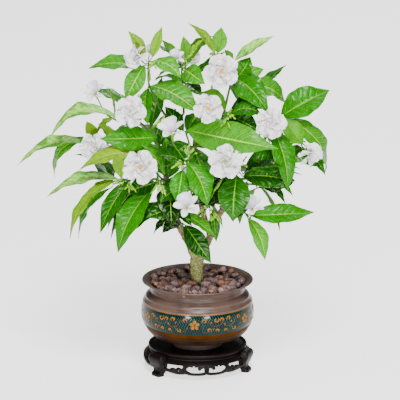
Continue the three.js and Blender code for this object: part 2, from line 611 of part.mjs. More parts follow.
// Each whorl is petal count, length, width, and its rise from the flower's face at the root and at the end.
const WHORLS = {
  [DOUBLE]: [[5, 27, 24, 30, -14, [0.42, 0.82]], [5, 19, 17, 52, 14, [0.68]]],
  [STAR]: [[5, 27, 18, 62, 16, [0.4, 0.8]]],
};
const petalBreadth = (s) => 0.16 + 0.84 * Math.sin(Math.PI * (0.62 * s) ** 1.25);

function petalSolid(flower, whorl, number) {
  const [count, length, width, from, to, stations] = whorl;
  const [start, end] = [from * Math.PI / 180, to * Math.PI / 180];
  const { at, axis, size, index } = flower;
  const across = squareTo(axis, new THREE.Vector3(0, 0, 1));
  const turn = 2 * Math.PI * (number + draw(-0.08, 0.08, index, number)) / count + draw(0, 6, index, 40 + count * length);
  const way = across.clone().multiplyScalar(Math.cos(turn)).addScaledVector(axis.clone().cross(across), Math.sin(turn));
  const place = (s) => {
    const angle = start + (end - start) * s;
    const reach = length * (Math.sin(angle) - Math.sin(start)) / (end - start);
    const rise = -length * (Math.cos(angle) - Math.cos(start)) / (end - start);
    return along(along(at, way, (THROAT_RADIUS + reach) * size), axis, (rise - 1) * size);
  };
  const ring = (s) => {
    const angle = start + (end - start) * s;
    const up = axis.clone().multiplyScalar(Math.cos(angle)).addScaledVector(way, -Math.sin(angle));
    const flat = way.clone().multiplyScalar(Math.cos(angle)).addScaledVector(axis, Math.sin(angle));
    const side = flat.clone().cross(up).multiplyScalar(0.94).addScaledVector(up, 0.34);
    const half = width / 2 * petalBreadth(s) * size;
    const cup = 0.16 * half;
    const middle = place(s);
    return [along(along(middle, side, half), up, cup), along(middle, up, 0.6),
      along(along(middle, side, -half), up, cup), along(middle, up, -0.6)];
  };
  return loft(stations.map(ring), place(1), place(0));
}

// The rolled innermost petals, as one ruffled cone.
function heartSolid({ at, axis, size }) {
  const across = squareTo(axis, new THREE.Vector3(0, 0, 1));
  const other = axis.clone().cross(across);
  const rings = [[2, 2.2], [9, 4]].map(([rise, radius]) => [0, 1, 2, 3].map((j) => {
    const turn = Math.PI * j / 2 + rise * 0.06;
    return along(along(along(at, axis, rise * size), across, radius * size * Math.cos(turn)), other,
      radius * size * Math.sin(turn));
  }));
  return loft(rings, along(at, axis, 7 * size), along(at, axis, -2));
}

function flowerSolid(flower) {
  const { kind, at, axis, size } = flower;
  const tube = [-TUBE_LENGTH, -6, 1].map((distance) => along(at, axis, distance * size));
  const radii = [STALK_RADIUS, TUBE_RADIUS, THROAT_WIDTH].map((radius) => radius * size);
  const petals = WHORLS[kind].flatMap((whorl) => (
    Array.from({ length: whorl[0] }, (_, number) => petalSolid(flower, whorl, number))));
  const heart = kind === DOUBLE ? [heartSolid(flower)] : [];
  return fuse([rod(tube, radii, 5, axis), ...petals, ...heart]);
}

function stalkSolid(flower, line) {
  const foot = along(flower.at, flower.axis, -TUBE_LENGTH * flower.size - GAP);
  const bend = along(foot, flower.axis, -7);
  return rod([nearest(line, bend), bend, foot], [STALK_RADIUS], 4);
}

const BUDS_IN_A_CLUSTER = 2;
const BUD_SECTIONS = [[0.5, 0.7], [0.8, 1.9]];

function budSolid(place, line, index, number) {
  const near = line.indexOf(nearest(line, place));
  const root = line[Math.max(near - 5 * number, 0)];
  const tip = place.clone();
  tip.x += draw(-7, 7, index, 1);
  tip.y += draw(-6, 3, index, 2);
  tip.z += draw(-5, 6, index, 3);
  const axis = tip.clone().sub(root).normalize();
  const side = squareTo(axis, new THREE.Vector3(0.3, 0.5, 0.8));
  const other = axis.clone().cross(side);
  const rings = BUD_SECTIONS.map(([s, radius]) => [0, 1, 2].map((j) => {
    const turn = 2 * Math.PI * j / 3;
    return along(along(root.clone().lerp(tip, s), side, radius * Math.cos(turn)), other, radius * Math.sin(turn));
  }));
  return loft(rings, tip, along(root, axis, -ROOT_DEPTH));
}

// ---------------------------------------------------------------- what stands where, to keep shoots clear
const placed = [];

function put(node, shape) {
  placed.push({ node, shape, box: shape.boundingBox() });
  return shape;
}

const apart = (a, b) => [0, 1, 2].some((k) => a.min[k] > b.max[k] || b.min[k] > a.max[k]);

function isClear(shape, others) {
  const box = shape.boundingBox();
  return others.every((other) => apart(box, other.box) || other.shape.intersect(shape).isEmpty());
}

const strangers = (node) => placed.filter((other) => other.node !== node);

// ---------------------------------------------------------------- the trunk with its limbs and twigs
const LIMB_STEPS = 1;
const limbLines = LIMBS.map(({ points }) => smooth(points.map(seen), LIMB_STEPS));

function limbSolid({ radii }, k) {
  const fine = limbLines[k].map((_, j) => {
    const [low, part] = [Math.floor(j / LIMB_STEPS), (j % LIMB_STEPS) / LIMB_STEPS];
    return radii[low] + (radii[Math.min(low + 1, radii.length - 1)] - radii[low]) * part;
  });
  return rod(limbLines[k], fine, k ? 5 : 10, k ? null : new THREE.Vector3(0, 0, 1));
}

const shootName = (k) => `leafy_stem_${String(k + 1).padStart(2, '0')}`;
const shoots = SHOOTS.map((shoot, k) => {
  const start = seen(shoot.path[0]);
  const from = nearest(limbLines.slice(1).flat(), start);
  const lead = start.clone().sub(from).normalize();
  const path = [along(start, lead, GAP), ...shoot.path.slice(1).map(seen)];
  const line = smooth(path, shoot.path.length > 3 ? 1 : 2);
  return { ...shoot, name: shootName(k), start, from, lead, line, fine: dense(line), parts: [], blades: [] };
});

const trunkParts = LIMBS.map((limb, k) => put('trunk', limbSolid(limb, k)));
for (const { from, start, lead } of shoots) {
  trunkParts.push(put('trunk', rod([from, start], [TWIG_RADIUS, STEM_RADIUS], 4, lead)));
}

// ---------------------------------------------------------------- the flowers, then all that must clear them
const flowers = shoots.flatMap((shoot) => (shoot.flowers || []).map(([kind, at, facing, size]) => (
  { kind, at: seen(at), axis: heading(facing), size, shoot })));
flowers.forEach((flower, k) => {
  flower.index = k + 1;
  flower.name = `bloom_${String(k + 1).padStart(2, '0')}`;
  flower.shape = put(flower.name, flowerSolid(flower));
});

for (const shoot of shoots) {
  shoot.parts.push(put(shoot.name, rod(shoot.line, [STEM_RADIUS], 4, shoot.lead)));
}
for (const flower of flowers) {
  flower.shoot.parts.push(put(flower.shoot.name, stalkSolid(flower, flower.shoot.fine)));
}

let nextIndex = 1;
for (const shoot of shoots) {
  for (const place of shoot.buds || []) {
    for (let k = 0; k < BUDS_IN_A_CLUSTER; k += 1) {
      const bud = budSolid(seen(place), shoot.fine, nextIndex, k);
      nextIndex += 1;
      if (isClear(bud, strangers(shoot.name))) shoot.parts.push(put(shoot.name, bud));
    }
  }
}

function placeLeaf(shoot, leaf) {
  const others = strangers(shoot.name);
  const clear = BENDS.filter((move) => isClear(leafSolids(bent(leaf, move), shoot.fine, CLEARANCE).whole(), others));
  const bend = clear.find((move) => isClear(leafSolids(bent(leaf, move), shoot.fine, CLEARANCE).blade(), shoot.blades))
    || clear[0];
  if (!bend) {
    console.warn(shoot.name, 'leaf', leaf.index, 'has no clear place');
    return;
  }
  const made = leafSolids(bent(leaf, bend), shoot.fine);
  shoot.parts.push(put(shoot.name, made.whole()));
  const blade = made.blade();
  shoot.blades.push({ shape: blade, box: blade.boundingBox() });
}

for (const list of ['leaves', 'inner']) {
  for (const shoot of shoots) {
    for (const [base, tip, width, facing, arch] of shoot[list] || []) {
      placeLeaf(shoot, { base: seen(base), tip: seen(tip), width, facing: heading(facing), arch, index: nextIndex });
      nextIndex += 1;
    }
  }
}
for (const shoot of shoots) {
  if (!shoot.fill) continue;
  for (const leaf of fillLeaves(shoot.fill, shoot.fine, nextIndex)) placeLeaf(shoot, leaf);
  nextIndex += 2 * shoot.fill[0];
}

// ---------------------------------------------------------------- materials and the finished group
const finish = (color, roughness, metalness = 0) => new THREE.MeshStandardMaterial({ color, roughness, metalness });
const LACQUER = finish(0x1a100c, 0.3);
const CLAY = finish(0x4a3d36, 0.7);
const SOIL = finish(0x2b2018, 0.95);
const LAVA = finish(0x54352c, 0.9);
const BARK = finish(0x6d5a3a, 0.8);
const LEAF = finish(0x2f7a1c, 0.35);
const PETAL = finish(0xf4f2f4, 0.5);

const group = new THREE.Group();

function add(name, shape, material) {
  const mesh = new THREE.Mesh(geometryOf(largest(solid(geometryOf(shape)))), material);
  mesh.name = name;
  group.add(mesh);
}

const board = turned(boardProfile(), POT_ROUND);
const boardRoom = turned([
  [0, BOARD_UNDERSIDE - GAP], [BOARD_RADIUS + GAP, BOARD_UNDERSIDE - GAP], [BOARD_RADIUS + GAP, STAND_TOP + 5],
  [0, STAND_TOP + 5],
], POT_ROUND);
const legNumbers = Array.from({ length: LEG_COUNT }, (_, k) => k);
const legRooms = legNumbers.map((k) => legBlank(legAngle(k), 2 * GAP));
add('stand_board', board, LACQUER);
for (const k of legNumbers) {
  add(`stand_leg_${k + 1}`, fuse([legBlank(legAngle(k)).subtract(boardRoom)]), LACQUER);
  add(`stand_apron_${k + 1}`, apron(legAngle(k + 0.5), legRooms), LACQUER);
}
add('pot', potSolid(), CLAY);
add('soil', soilSolid(), SOIL);
add('pebbles', pebblesSolid(), LAVA);
add('trunk', fuse(trunkParts), BARK);
for (const shoot of shoots) add(shoot.name, fuse(shoot.parts), LEAF);
for (const flower of flowers) add(flower.name, flower.shape, PETAL);

const reach = new THREE.Box3().setFromObject(group);
group.position.set(-(reach.min.x + reach.max.x) / 2, -(reach.min.y + reach.max.y) / 2, -reach.min.z);

export default group;
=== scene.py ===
"""Double-flowered crape jasmine in a clay pot on a carved, three-legged wooden stand.

Sizes are millimetres from the pot's axis at the floor, +Z up, the front towards -Y. Each piece is turned into metres
in the frame's own place when it becomes a mesh.
"""
from __future__ import annotations

import itertools
import logging
import math
from dataclasses import dataclass, field
from enum import Enum, IntEnum
from typing import Callable, Iterator, Sequence

import bpy
import numpy as np
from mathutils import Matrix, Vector, kdtree, noise


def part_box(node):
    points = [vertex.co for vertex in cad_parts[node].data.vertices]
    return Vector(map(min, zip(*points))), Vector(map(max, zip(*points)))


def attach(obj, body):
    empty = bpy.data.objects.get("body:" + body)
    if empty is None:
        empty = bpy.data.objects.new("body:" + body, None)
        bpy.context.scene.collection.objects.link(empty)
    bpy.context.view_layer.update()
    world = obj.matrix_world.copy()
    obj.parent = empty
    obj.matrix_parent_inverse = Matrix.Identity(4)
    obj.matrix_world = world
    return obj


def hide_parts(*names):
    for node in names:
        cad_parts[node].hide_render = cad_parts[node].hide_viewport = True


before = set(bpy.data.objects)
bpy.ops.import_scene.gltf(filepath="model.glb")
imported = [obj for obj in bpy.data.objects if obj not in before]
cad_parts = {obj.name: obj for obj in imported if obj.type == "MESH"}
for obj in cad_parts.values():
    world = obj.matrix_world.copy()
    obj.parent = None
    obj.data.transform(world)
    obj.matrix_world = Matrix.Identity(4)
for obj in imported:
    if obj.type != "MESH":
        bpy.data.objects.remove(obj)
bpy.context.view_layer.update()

LOG = logging.getLogger("jasmine")
MM = 0.001
GAP = 0.3
SIGHT_TILT = math.radians(16)
DRAWS = 65536
SKEW = np.array([0.31, -0.2, 0.93])
PLAIN = (1, 1, 1, 1)
POT_LOW, POT_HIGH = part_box("pot")
AXIS = np.array([(POT_LOW.x + POT_HIGH.x) / 2, (POT_LOW.y + POT_HIGH.y) / 2, 0.0]) / MM
Points = np.ndarray
Spot = Sequence[float]
Colour = tuple[float, float, float]
Socket = bpy.types.NodeSocket
Material = bpy.types.Material


# ---- directions
def seen(spot: Spot) -> Points:
    """Turns a surveyed spot into a point.

    Args:
        spot: Across from the pot's axis, rise as seen along the line of sight, and distance in front of the axis.
    Returns:
        The point.
    """
    across, rise, front = spot
    return np.array([across, -front, (rise + front * math.sin(SIGHT_TILT)) / math.cos(SIGHT_TILT)], float)


def unit(way: Points) -> Points:
    """Returns the direction with length 1."""
    return way / np.linalg.norm(way)


def heading(way: Spot) -> Points:
    """Returns the direction of [right, towards the front, up]."""
    return unit(np.array([way[0], -way[1], way[2]], float))


SIGHT = np.array([0, -math.cos(SIGHT_TILT), math.sin(SIGHT_TILT)])
SIGHT_UP = np.array([0, math.sin(SIGHT_TILT), math.cos(SIGHT_TILT)])


def draw(low: float, high: float, index: int, number: int) -> float:
    """Draws a repeatable number.

    Args:
        low: Lowest value.
        high: Highest value.
        index: Which piece draws.
        number: Which of its draws this is.
    Returns:
        The number drawn.
    """
    state = (index * 1009 + number * 9176 + 37) % DRAWS
    for _ in range(3):
        state = (state * 25173 + 13849) % DRAWS
    return low + (high - low) * state / DRAWS


def offset(index: int, first: int, *ranges: tuple[float, float], step: int = 1) -> Points:
    """Draws a number from each of several ranges.

    Args:
        index: Which piece draws.
        first: Number of the first of these draws.
        ranges: Lowest and highest value of each.
        step: How far apart the draws' numbers are.
    Returns:
        The numbers drawn.
    """
    return np.array([draw(*limits, index, first + step * k) for k, limits in enumerate(ranges)])


def square_to(axis: Points, hint: Points) -> Points:
    """Squares a hint to an axis.

    Args:
        axis: The axis, of length 1.
        hint: The wanted direction. Another one is tried where it runs along the axis.
    Returns:
        The direction square to the axis that is nearest the hint.
    """
    side = hint - axis * np.dot(hint, axis)
    if np.dot(side, side) > 0.01:
        return unit(side)
    return square_to(axis, np.array([hint[1], hint[2], hint[0]]))


def spline(points: Sequence[Points], steps: int) -> Points:
    """Runs a smooth line through points.

    Args:
        points: The points, at least two.
        steps: Stretches between each two of them.
    Returns:
        The line's points, one row each.
    """
    knots = np.array([2 * points[0] - points[1], *points, 2 * points[-1] - points[-2]], float)
    made = []
    for k in range(1, len(knots) - 2):
        before, start, end, after = knots[k - 1:k + 3]
        for t in np.arange(steps) / steps:
            made.append(0.5 * (2 * start + (end - before) * t + (2 * before - 5 * start + 4 * end - after) * t ** 2
                               + (3 * start - before - 3 * end + after) * t ** 3))
    return np.array([*made, knots[-2]])


def dense(line: Points) -> Points:
    """Cuts a line's straight stretches into ten steps each.

    Args:
        line: The line's points.
    Returns:
        The points of the finer line.
    """
    steps = np.arange(10) / 10
    made = [line[k] + (line[k + 1] - line[k]) * t for k in range(len(line) - 1) for t in steps]
    return np.array([*made, line[-1]])


def spread(values: Sequence[float], count: int) -> Points:
    """Returns values taken evenly along a list, as many as the count says."""
    return np.interp(np.linspace(0, len(values) - 1, count), np.arange(len(values)), values)


def edged(line: Points) -> Points:
    """Finds the way out of a flat line on its left.

    Args:
        line: The line's points, two numbers each.
    Returns:
        The direction square to the line at each point.
    """
    way = np.gradient(line, axis=0)
    way /= np.maximum(np.linalg.norm(way, axis=1), 1e-6)[:, None]
    return np.stack([-way[:, 1], way[:, 0]], -1)


def nearest(line: Points, point: Points) -> int:
    """Returns the place in a line, short of its very end, that is nearest a point."""
    return int(np.argmin(np.linalg.norm(line[:-1] - point, axis=1)))


def rough(points: Points, scale: float, depth: int = 3) -> Points:
    """Returns smooth noise, about -1 to 1, at each point, for lumps of the size given by the scale."""
    return np.array([noise.fractal(Vector(point / scale), 0.6, 2.0, depth) for point in points])


# ---- meshes
def grid_faces(rows: int, columns: int, wrap: bool = False, flip: bool = False, first: int = 0) -> Points:
    """Lists the faces of a grid of points.

    Args:
        rows: Rows of points.
        columns: Points in a row.
        wrap: Whether each row closes on itself.
        flip: Whether the faces look the other way.
        first: Number of the grid's first point.
    Returns:
        Four point numbers for each face.
    """
    r = np.arange(rows - 1)[:, None] * columns
    c = np.arange(columns if wrap else columns - 1)[None, :]
    d = (c + 1) % columns
    faces = np.stack([r + c, r + d, r + columns + d, r + columns + c], -1).reshape(-1, 4) + first
    return faces[:, ::-1] if flip else faces


def fan_faces(first: int, count: int, flip: bool = False) -> Points:
    """Lists the faces that close a ring of points.

    Args:
        first: Number of the ring's first point.
        count: Points in the ring.
        flip: Whether the faces look the other way.
    Returns:
        Four point numbers for each face, the last one repeated.
    """
    k = first + np.arange(1, count - 1)
    one, two = (k + 1, k) if flip else (k, k + 1)
    return np.stack([np.full(count - 2, first), one, two, two], -1)


class Skin:
    """Points, faces and painted values of one piece, gathered before they become one mesh."""

    def __init__(self) -> None:
        """Starts with nothing."""
        self.points: list[Points] = []
        self.marks: list[Points] = []
        self.tints: list[Points] = []
        self.quads: list[Points] = []
        self.slots: list[Points] = []
        self.count = 0

    def add(self, points: Points, quads: Points, slot: int = 0, marks: Points | None = None,
            tint: Sequence[float] | Points = PLAIN) -> None:
        """Adds a shape.

        Args:
            points: Its points, one row each.
            quads: Its faces, four point numbers each, the last one repeated in a triangle.
            slot: The finish of its faces.
            marks: Three painted values for each point.
            tint: A colour for all of it, or one for each point.
        """
        n = len(points)
        self.points.append(np.asarray(points, float))
        self.marks.append(np.zeros((n, 3)) if marks is None else marks)
        self.tints.append(np.broadcast_to(np.asarray(tint, float), (n, 4)))
        self.quads.append(np.asarray(quads, int) + self.count)
        self.slots.append(np.full(len(quads), slot))
        self.count += n

    def tube(self, line: Points, radii: Sequence[float] | Points, sides: int = 8, slot: int = 0,
             tint: Sequence[float] = PLAIN, flat: float = 1.0, hint: Points | None = None) -> None:
        """Adds a closed round or flattened bar along a line.

        Args:
            line: The line's points.
            radii: A radius for each of them.
            sides: Facets round the bar.
            slot: The finish of its faces.
            tint: Its colour.
            flat: Its thickness along the hint, as a share of its width.
            hint: The direction that it is flattened along.
        """
        radii = np.broadcast_to(np.asarray(radii, float), (len(line),))
        way = SKEW if hint is None else hint
        turns = 2 * np.pi * np.arange(sides) / sides
        rings = []
        for k, point in enumerate(line):
            axis = unit(line[min(k + 1, len(line) - 1)] - line[max(k - 1, 0)])
            first = square_to(axis, way)
            way = first if hint is None else hint
            other = np.cross(axis, first)
            rings.append(point + radii[k] * (np.cos(turns)[:, None] * first * flat + np.sin(turns)[:, None] * other))
        points = np.concatenate([*rings, line[:1], line[-1:]])
        quads = grid_faces(len(line), sides, wrap=True)
        j = np.arange(sides)
        last = (len(line) - 1) * sides
        after = (j + 1) % sides
        root, tip = np.full(sides, len(points) - 2), np.full(sides, len(points) - 1)
        ends = [np.stack([after, j, root, root], -1), np.stack([last + j, last + after, tip, tip], -1)]
        self.add(points, np.concatenate([quads, *ends]), slot, tint=tint)

    def sheet(self, upper: Points, lower: Points, slot: int, marks: Points, tint: Sequence[float]) -> None:
        """Adds a closed thin sheet.

        Args:
            upper: Grid of points of its upper face, rows by columns.
            lower: Grid of points of its lower face.
            slot: The finish of its faces.
            marks: Painted values of the grid.
            tint: Its colour; the fourth value is 1 on the upper face and 0 on the lower.
        """
        rows, columns = upper.shape[:2]
        n = rows * columns
        rim = np.concatenate([np.arange(columns), np.arange(1, rows) * columns + columns - 1,
                              n - 2 - np.arange(columns - 1), np.arange(rows - 2, 0, -1) * columns])
        after = np.roll(rim, -1)
        side = np.stack([rim, rim + n, after + n, after], -1)
        quads = np.concatenate([grid_faces(rows, columns), grid_faces(rows, columns, flip=True, first=n), side])
        colours = np.tile(np.array([*tint[:3], 1.0]), (2 * n, 1))
        colours[n:, 3] = 0
        flat = marks.reshape(-1, 3)
        self.add(np.concatenate([upper.reshape(-1, 3), lower.reshape(-1, 3)]), quads, slot,
                 np.concatenate([flat, flat]), colours)

    def turned(self, profile: Points, segments: int, slot: int | Callable[[Points], Points] = 0) -> None:
        """Adds a closed turned shape.

        Args:
            profile: Radius and height along a line that closes on itself or ends on the axis.
            segments: Facets round it.
            slot: Its finish, or a rule that gives one for the mean height and radius of each face.
        """
        turns = 2 * np.pi * np.arange(segments) / segments
        rings = [np.stack([r * np.sin(turns), -r * np.cos(turns), np.full(segments, z)], -1) for r, z in profile]
        points = np.concatenate(rings)
        quads = grid_faces(len(profile), segments, wrap=True)
        if callable(slot):
            middles = points[quads].mean(1)
            chosen = slot(np.stack([np.hypot(middles[:, 0], middles[:, 1]), middles[:, 2]], -1))
            self.add(points, quads)
            self.slots[-1] = chosen
        else:
            self.add(points, quads, slot)

    def loft(self, rings: Points, flip: bool = False) -> None:
        """Adds a closed bar.

        Args:
            rings: Its points, ring by ring.
            flip: Whether the rings turn the other way.
        """
        rows, count = rings.shape[:2]
        self.add(rings.reshape(-1, 3), np.concatenate([
            grid_faces(rows, count, wrap=True, flip=flip), fan_faces(0, count, not flip),
            fan_faces((rows - 1) * count, count, flip)]))

    def make(self, name: str, finishes: Sequence[Material], crease: float = 60) -> bpy.types.Object:
        """Turns all that was added into one object that rides on the frame.

        Args:
            name: The piece's name.
            finishes: Its materials, in the order of the slots.
            crease: Edges sharper than this many degrees stay sharp.
        Returns:
            The object.
        """
        points = (np.concatenate(self.points) + AXIS) * MM
        quads = np.concatenate(self.quads)
        slots = np.concatenate(self.slots)
        thin = quads[:, 2] == quads[:, 3]
        mesh = bpy.data.meshes.new(name)
        mesh.vertices.add(len(points))
        mesh.vertices.foreach_set("co", points.astype(np.float32).ravel())
        corners = np.where(thin, 3, 4)
        starts = np.concatenate([[0], np.cumsum(corners)[:-1]])
        keep = np.ones(quads.shape, bool)
        keep[thin, 3] = False
        mesh.loops.add(int(corners.sum()))
        mesh.loops.foreach_set("vertex_index", quads[keep].astype(np.int32))
        mesh.polygons.add(len(quads))
        mesh.polygons.foreach_set("loop_start", starts.astype(np.int32))
        mesh.polygons.foreach_set("material_index", slots.astype(np.int32))
        mesh.polygons.foreach_set("use_smooth", np.ones(len(quads), bool))
        mesh.update(calc_edges=True)
        for title, kind, key, rows in (("marks", "FLOAT_VECTOR", "vector", self.marks),
                                       ("tint", "FLOAT_COLOR", "color", self.tints)):
            layer = mesh.attributes.new(title, kind, "POINT")
            layer.data.foreach_set(key, np.concatenate(rows).astype(np.float32).ravel())
        for finish in finishes:
            mesh.materials.append(finish)
        mesh.validate()
        mesh.set_sharp_from_angle(angle=math.radians(crease))
        piece = bpy.data.objects.new(name, mesh)
        bpy.context.scene.collection.objects.link(piece)
        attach(piece, "root")
        LOG.info("%s: %d faces", name, len(mesh.polygons))
        return piece


# ---- finishes
class Graph:
    """Short ways to lay out a material's nodes."""

    def __init__(self, name: str) -> None:
        """Makes a material with a bare shader.

        Args:
            name: The material's name.
        """
        self.material = bpy.data.materials.new(name)
        self.material.use_nodes = True
        self.tree = self.material.node_tree
        self.shader = self.tree.nodes["Principled BSDF"]

    def node(self, kind: str, inputs: dict[str | int, object] | None = None, **settings: object) -> bpy.types.Node:
        """Adds a node.

        Args:
            kind: The node's type.
            inputs: Values or sockets for its inputs, by name or number.
            settings: Its other settings.
        Returns:
            The node.
        """
        made = self.tree.nodes.new(kind)
        for key, value in settings.items():
            setattr(made, key, value)
        for key, value in (inputs or {}).items():
            if isinstance(value, Socket):
                self.tree.links.new(value, made.inputs[key])
            else:
                made.inputs[key].default_value = value
        return made

    def math(self, operation: str, *values: object) -> Socket:
        """Returns a sum, product or other operation of values."""
        return self.node("ShaderNodeMath", dict(enumerate(values)), operation=operation).outputs[0]

    def times(self, first: object, second: object) -> Socket:
        """Returns the product of two values."""
        return self.math("MULTIPLY", first, second)

    def band(self, value: object, low: float, high: float, share: float = 1.0) -> Socket:
        """Makes a smooth step between two limits, which may stand in either order.

        Args:
            value: What is compared with the limits.
            low: The value that gives 0.
            high: The value that gives the share.
            share: The most that it gives.
        Returns:
            The step.
        """
        made = self.node("ShaderNodeMapRange", {"Value": value, "From Min": low, "From Max": high},
                         interpolation_type="SMOOTHSTEP").outputs[0]
        return made if share == 1 else self.times(made, share)

    def span(self, value: object, low: float, high: float) -> Socket:
        """Returns a value from 0 to 1 turned into one from low to high."""
        return self.node("ShaderNodeMapRange", {"Value": value, "To Min": low, "To Max": high}).outputs[0]

    def mix(self, share: object, first: object, second: object, blend: str = "MIX") -> Socket:
        """Mixes two colours.

        Args:
            share: How much of the second colour there is.
            first: The first colour.
            second: The second colour.
            blend: How they are mixed.
        Returns:
            The mix.
        """
        first, second = (value if isinstance(value, Socket) else (*value, 1) for value in (first, second))
        inputs = {0: share, 6: first, 7: second}
        return self.node("ShaderNodeMix", inputs, data_type="RGBA", blend_type=blend).outputs[2]

    def noise(self, scale: float, detail: float = 3, roughness: float = 0.55,
              vector: object = None) -> Socket:
        """Makes smooth noise.

        Args:
            scale: Lumps per metre.
            detail: Layers of finer lumps.
            roughness: Strength of each finer layer.
            vector: The space that it fills, by default the object's own.
        Returns:
            The noise.
        """
        space = self.place() if vector is None else vector
        inputs = {"Vector": space, "Scale": scale, "Detail": detail, "Roughness": roughness}
        return self.node("ShaderNodeTexNoise", inputs).outputs[0]

    def place(self) -> Socket:
        """Returns the point's place in the object's own space."""
        return self.node("ShaderNodeTexCoord").outputs["Object"]

    def painted(self, name: str) -> bpy.types.Node:
        """Returns the node that reads a painted layer."""
        return self.node("ShaderNodeAttribute", attribute_name=name)

    def parts(self, vector: object) -> Socket:
        """Returns the three sockets that a vector comes apart into."""
        return self.node("ShaderNodeSeparateXYZ", {0: vector}).outputs

    def marks(self) -> Socket:
        """Returns the three values painted on each point."""
        return self.parts(self.painted("marks").outputs["Vector"])

    def tint(self) -> Socket:
        """Returns the painted colour."""
        return self.painted("tint").outputs["Color"]

    def stretched(self, scale: Colour) -> Socket:
        """Returns the object's own space, stretched by a number for each axis."""
        return self.node("ShaderNodeVectorMath", {0: self.place(), 1: scale}, operation="MULTIPLY").outputs[0]

    def dress(self, colour: object, rough: object = None, relief: tuple[object, float, float] | None = None,
              **values: object) -> Material:
        """Gives the shader all that its surface shows.

        Args:
            colour: Its colour.
            rough: Its roughness, where that is not the same all over.
            relief: A height map, its depth in metres and how much of it shows.
            values: The shader's own values, with underscores for spaces in their names.
        Returns:
            The finished material.
        """
        self.tree.links.new(colour, self.shader.inputs["Base Color"])
        if rough:
            self.tree.links.new(rough, self.shader.inputs["Roughness"])
        if relief:
            made = self.node("ShaderNodeBump", dict(zip(("Height", "Distance", "Strength"), relief)))
            self.tree.links.new(made.outputs[0], self.shader.inputs["Normal"])
        for key, value in values.items():
            self.shader.inputs[key.replace("_", " ")].default_value = value
        return self.material


@dataclass(frozen=True)
class LeafFinish:
    """Waxy leaf blade: painted tone, pale midrib, curved side veins with painted shade in their grooves, paler matt
    underside, and green patches in the painted sheen of SILVER leaves.
    """

    vein: Colour = (0.125, 0.31, 0.004)
    pale_vein: Colour = (0.25, 0.50, 0.03)
    underside: Colour = (0.065, 0.165, 0.002)
    # Green that shows in patches through the painted sheen of SILVER leaves.
    patch: Colour = (0.022, 0.165, 0.004)
    shade: Colour = (0.0, 0.01, 0.0)
    # Painted shade laid in the sunken grooves along the side veins.
    hollow: Colour = (0.0, 0.012, 0.0)
    rim: Colour = (0.07, 0.17, 0.004)
    gloss: float = 0.25

    def material(self) -> Material:
        """Lays out the blade's surface.

        Returns:
            The material.
        """
        g = Graph("leaf_blade")
        tint = g.painted("tint").outputs
        paint, upper = tint["Color"], tint["Alpha"]
        _, across, count = g.marks()
        aside = g.math("ABSOLUTE", across)
        mottle = g.noise(160, 4)
        # SILVER leaves carry a painted sheen in their tone; green patches break it up, more towards the blade's sides.
        painted_sheen = g.band(g.node("ShaderNodeSeparateColor", {0: paint}).outputs[2], 0.012, 0.05)
        patch = g.band(g.math("ADD", g.noise(46, 4), g.times(aside, 0.2)), 0.56, 0.72, 0.8)
        paint = g.mix(g.times(painted_sheen, patch), paint, self.patch)
        tone = g.mix(g.band(mottle, 0.35, 0.7), g.mix(0.25, paint, self.shade), paint)
        tone = g.mix(g.band(aside, 0.86, 1.0, 0.2), tone, self.rim)
        beat = g.math("ABSOLUTE", g.math("SUBTRACT", g.math("FRACT", count), 0.5))
        side = g.times(g.band(beat, 0.43, 0.487), g.band(aside, 0.97, 0.5))
        veins = g.math("MAXIMUM", g.times(side, 0.36), g.band(aside, 0.06, 0.022, 0.8))
        light = g.band(g.node("ShaderNodeSeparateColor", {0: paint}).outputs[1], 0.11, 0.24)
        lines = g.math("MINIMUM", g.times(veins, g.math("ADD", 1.0, g.times(light, 0.5))), 1.0)
        # Painted shade: the blade darkens towards each side vein, in its groove.
        top = g.mix(g.band(beat, 0.22, 0.4, 0.22), tone, self.hollow)
        top = g.mix(lines, top, g.mix(light, self.vein, self.pale_vein))
        below = g.mix(g.times(veins, 0.7), g.mix(0.35, tone, self.underside), self.vein)
        matt = g.times(g.math("SUBTRACT", 1, upper), 0.22)
        rough = g.math("ADD", matt, g.span(mottle, self.gloss - 0.06, self.gloss + 0.1))
        valley = g.times(g.band(beat, 0.3, 0.5), g.band(aside, 1.0, 0.3))
        relief = g.math("SUBTRACT", g.math("SUBTRACT", g.times(mottle, 0.25), veins), valley)
        return g.dress(g.mix(upper, below, top), rough, (relief, 0.0005, 0.7), Specular_IOR_Level=0.16,
                       Specular_Tint=(0.85, 1.0, 0.7, 1.0), Subsurface_Weight=0.06, Subsurface_Scale=0.002,
                       Subsurface_Radius=(0.4, 1.0, 0.2))


@dataclass(frozen=True)
class StemFinish:
    """Smooth young stem, petiole or flower stalk, painted by tint."""

    shade: Colour = (0.01, 0.03, 0.002)
    gloss: float = 0.42

    def material(self) -> Material:
        """Lays out the stem's surface.

        Returns:
            The material.
        """
        g = Graph("green_stem")
        grain = g.noise(260, 3)
        tint = g.tint()
        colour = g.mix(g.band(grain, 0.3, 0.75), g.mix(0.3, tint, self.shade), tint)
        return g.dress(colour, g.span(grain, self.gloss - 0.08, self.gloss + 0.1), (grain, 0.0002, 0.5),
                       Specular_IOR_Level=0.16, Subsurface_Weight=0.06, Subsurface_Scale=0.001,
                       Subsurface_Radius=(0.5, 1.0, 0.2))


